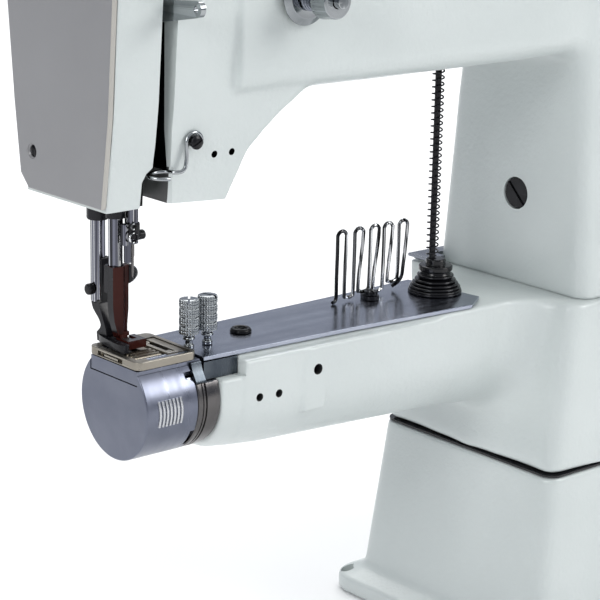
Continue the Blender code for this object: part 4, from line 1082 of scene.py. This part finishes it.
def make_thread_guide():
    """Bent wire: an eye round its screw, a drop, a run to the left and a pigtail in front of the slot."""
    x, z = GUIDE_SCREW.x, GUIDE_SCREW.z
    eye, face, pigtail = 4.3, -38.6, 5.2
    points = []
    for step in range(17):
        angle = math.radians(-20 + 200 * step / 16)
        points.append((x + eye * math.cos(angle), face, z + eye * math.sin(angle)))
    points += [(13.6, face, 127.0), (13.3, face, 123.4), (12.6, face, 120.6), (10.4, face, 119.2)]
    for step in range(25):
        angle = math.radians(-20 + 300 * step / 24)
        points.append((2.0 + (pigtail + 0.8) * math.cos(angle), face + 3.6 + pigtail * math.sin(angle),
                       119.0 - 1.9 * step / 24))
    place(wire("thread_guide_wire", flow(points, 3), 0.95, 5), "stand", "chrome", "chrome", "thread_guide")
    seat = (x, -39.9, z)
    profile = [(0, 2.0), (1.8, 1.9), (3.3, 1.3), (3.3, 0), (2.1, 0), (2.1, -9), (0, -9)]
    screw = solid("thread_guide_screw_head", spun(profile, seat, "-y", 48, 0.4))
    slotted(screw, seat, "-y", 1.8, 5, 0.9, 0.9, 0.5)
    place(screw, "stand", "black_steel", "black_steel", "thread_guide_screw")


def make_tension():
    centre = (75, 0, 195)
    post = spun([(0, 42), (3.0, 42), (3.0, 74), (0, 74)], centre, "-y", 40, 0.4)
    place(solid("tension_post_pin", post), "stand", "chrome", "chrome", "tension_post")
    dished = [(3.3, 49.0), (10, 49.0), (13, 47.4), (13.4, 47.6), (13.4, 48.2), (10.4, 50.2), (3.3, 50.2)]
    place(solid("tension_disc_pair", spun(dished, centre, "-y", 96, 0.3)), "stand", "chrome", "chrome",
          "tension_disc")
    cone = [(3.4, 51)]
    for turn in range(6):
        radius, start = 6.4 - 0.17 * turn, 51 + 1.5 * turn
        cone += [(radius - 0.7, start), (radius, start + 0.35), (radius, start + 0.95),
                 (radius - 0.7, start + 1.3)]
    cone += [(3.4, 60)]
    place(solid("tension_spring_coils", spun(cone, centre, "-y", 64)), "stand", "satin_steel", "satin_steel",
          "tension_spring")
    knob = solid("tension_knob_grip", spun([(3.4, 60.5), (8.5, 60.5), (9, 61), (8, 70), (3.4, 70)], centre,
                                           "-y",
                                           96, 0.5))
    for step in range(24):
        angle = math.tau * step / 24
        cut(knob, rod(0.5, 59, 72, (75 + 8.9 * math.cos(angle), 0, 195 + 8.9 * math.sin(angle)), "-y", 12))
    place(knob, "tension_nut", "chrome", "chrome", "tension_knob")


def make_controls():
    profile = [(0, 54.6), (18, 54.6), (22, 56), (22, 60), (17, 62), (15, 70), (14, 71), (0, 71)]
    dial = solid("stitch_dial_knob", spun(profile, (325, 0, 95), "-y", 96, 0.8))
    for step in range(30):
        angle = math.tau * step / 30
        cut(dial, rod(0.7, 50, 60.5, (325 + 22.2 * math.cos(angle), 0, 95 + 22.2 * math.sin(angle)), "-y",
                      12))
    place(dial, "dial", "knob_plastic", "knob_plastic", "stitch_dial")
    lever = solid("reverse_lever_arm", block((319, 331), (-69, -57.9), (39, 55), 2.2, 4))
    fuse(lever, rod(3.0, 65, 100, (325, 0, 47), "-y", 40), spun(
        [(0, 96), (5, 96), (8, 100), (8, 106), (5, 110), (0, 110)], (325, 0, 47), "-y", 64, 1.5))
    place(lever, "reverse", "black_steel", "black_steel", "reverse_lever")
    lifter = solid("hand_lifter_arm", slab(strap((40, 165), 8.5, (104, 158), 6.0), 48.0, 52.5, "y"))
    soften(lifter, 0.8, 3)
    fuse(lifter, rod(7.0, -50, -45.6, (40, 0, 165), "-y", 64))
    place(lifter, "foot_lift", "black_steel", "black_steel", "hand_lifter")
    base = solid("winder_bracket", block((296, 340), (-38, -14), (ARM_TOP + GAP, 274), 2.0, 4))
    cut(base, rod(3.4, 280, 360, (0, -26, 265), "x", 40))
    place(base, "stand", "enamel", "enamel", "winder_base")
    spindle = spun([(0, 283), (2.4, 283), (3.0, 285), (3.0, 346), (17, 346), (18, 347), (18, 353), (17, 354),
                    (0, 354)], (0, -26, 265), "x", 96, 0.6)
    place(solid("winder_spindle_wheel", spindle), "winder", "chrome", "chrome", "winder_spindle")
    rim = [(7.3, 388), (20, 388), (20, 392), (44, 394), (46, 386), (54, 385), (58, 388), (58, 396),
           (51, 400),
           (57, 404), (57, 408), (46, 410), (44, 401), (20, 404), (18, 409), (7.3, 409)]
    wheel = spun(rim, (0, 0, MAIN_SHAFT_Z), "x", 128, 1.6)
    place(solid("handwheel_rim", wheel), "drive_shaft", "knob_plastic", "knob_plastic", "handwheel")


def dress_remaining():
    """Better materials on the CAD nodes that stay visible."""
    finishes = {"timing_belt": "rubber", "rotary_hook": "chrome", "bobbin": "chrome"}
    for name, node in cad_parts.items():
        if node.hide_render:
            continue
        node.data.materials.clear()
        node.data.materials.append(FINISHES[finishes.get(name, "satin_steel")])


# ---------------------------------------------------------------------------- studio
def make_stage():
    shape = bmesh.new()
    bmesh.ops.create_circle(shape, cap_ends=True, radius=14.0, segments=96)
    mesh = bpy.data.meshes.new("floor")
    shape.to_mesh(mesh)
    shape.free()
    floor = bpy.data.objects.new("floor", mesh)
    floor.location.z = -0.0005
    bpy.context.scene.collection.objects.link(floor)
    paint = Finish("floor", 0.9)
    paint.shader.inputs["Specular IOR Level"].default_value = 0.1
    paint.colour(paint.blend(paint.span(paint.noise(3, 2), 0, 1), (0.90, 0.90, 0.90), (0.92, 0.92, 0.92)))
    floor.data.materials.append(paint.material)


def make_world():
    """Dim horizon under a white ceiling, darker on the left."""
    world = bpy.data.worlds.new("studio")
    bpy.context.scene.world = world
    world.use_nodes = True
    nodes, links = world.node_tree.nodes, world.node_tree.links
    where = nodes.new("ShaderNodeTexCoord").outputs["Generated"]
    axes = nodes.new("ShaderNodeSeparateXYZ")
    links.new(where, axes.inputs[0])
    ramp = nodes.new("ShaderNodeValToRGB")
    ramp.color_ramp.elements[0].position = 0.0
    ramp.color_ramp.elements[0].color = (0.33, 0.355, 0.41, 1)
    ramp.color_ramp.elements[1].position = 0.85
    ramp.color_ramp.elements[1].color = (0.80, 0.81, 0.82, 1)
    middle_stop = ramp.color_ramp.elements.new(0.40)
    middle_stop.color = (0.36, 0.385, 0.44, 1)
    links.new(axes.outputs["Z"], ramp.inputs["Fac"])
    side = nodes.new("ShaderNodeMapRange")
    for socket, number in zip(("From Min", "From Max", "To Min", "To Max"), (-1.0, 1.0, 0.75, 1.15)):
        side.inputs[socket].default_value = number
    links.new(axes.outputs["X"], side.inputs["Value"])
    background = nodes["Background"]
    links.new(ramp.outputs["Color"], background.inputs["Color"])
    links.new(side.outputs["Result"], background.inputs["Strength"])


def make_light(name, location, target, size, power, colour=(1, 1, 1)):
    data = bpy.data.lights.new(name, "AREA")
    data.shape = "RECTANGLE"
    data.size, data.size_y = size
    data.energy = power
    data.color = colour
    light = bpy.data.objects.new(name, data)
    light.location = location
    light.rotation_mode = "QUATERNION"
    light.rotation_quaternion = (Vector(target) - Vector(location)).to_track_quat("-Z", "Y")
    bpy.context.scene.collection.objects.link(light)


def make_camera():
    """The main camera: heading, dip and roll in degrees, place in arm millimetres."""
    heading, dip, roll = math.radians(40.716), math.radians(15.369), math.radians(1.144)
    ahead = Vector((math.sin(heading) * math.cos(dip), math.cos(heading) * math.cos(dip), -math.sin(dip)))
    level = Vector((math.cos(heading), -math.sin(heading), 0))
    above = level.cross(ahead)
    right = level * math.cos(roll) + above * math.sin(roll)
    up = above * math.cos(roll) - level * math.sin(roll)
    data = bpy.data.cameras.new("camera")
    data.sensor_width = 36.0
    data.lens = 127.74
    data.clip_start, data.clip_end = 0.05, 60
    camera = bpy.data.objects.new("camera", data)
    matrix = Matrix((right, up, -ahead)).transposed().to_4x4()
    matrix.translation = TO_ROW @ Vector((-563.16, -789.20, 319.47))
    camera.matrix_world = matrix
    bpy.context.scene.collection.objects.link(camera)
    bpy.context.scene.camera = camera


make_camera()
make_world()
make_stage()
make_light("key", (0.9, -1.5, 1.25), (0.0, 0.0, 0.2), (0.9, 0.9), 19, (1.0, 0.99, 0.97))
make_light("fill", (-1.9, -0.5, 1.1), (-0.1, 0.0, 0.2), (0.8, 0.8), 13)
make_light("backdrop", (1.2, 1.5, 2.4), (1.2, 1.5, 0.0), (2.6, 2.6), 60)
bpy.context.scene.view_settings.view_transform = "Standard"

make_pedestal()
make_bed()
make_upper()
make_covers()
make_cap()
make_nose()
make_needle_frame()
make_cover_plate()
make_thumbscrews()
make_comb()
make_lifter()
make_presser()
make_walking_foot()
make_needle()
make_take_up()
make_thread_guide()
make_tension()
make_controls()
dress_remaining()
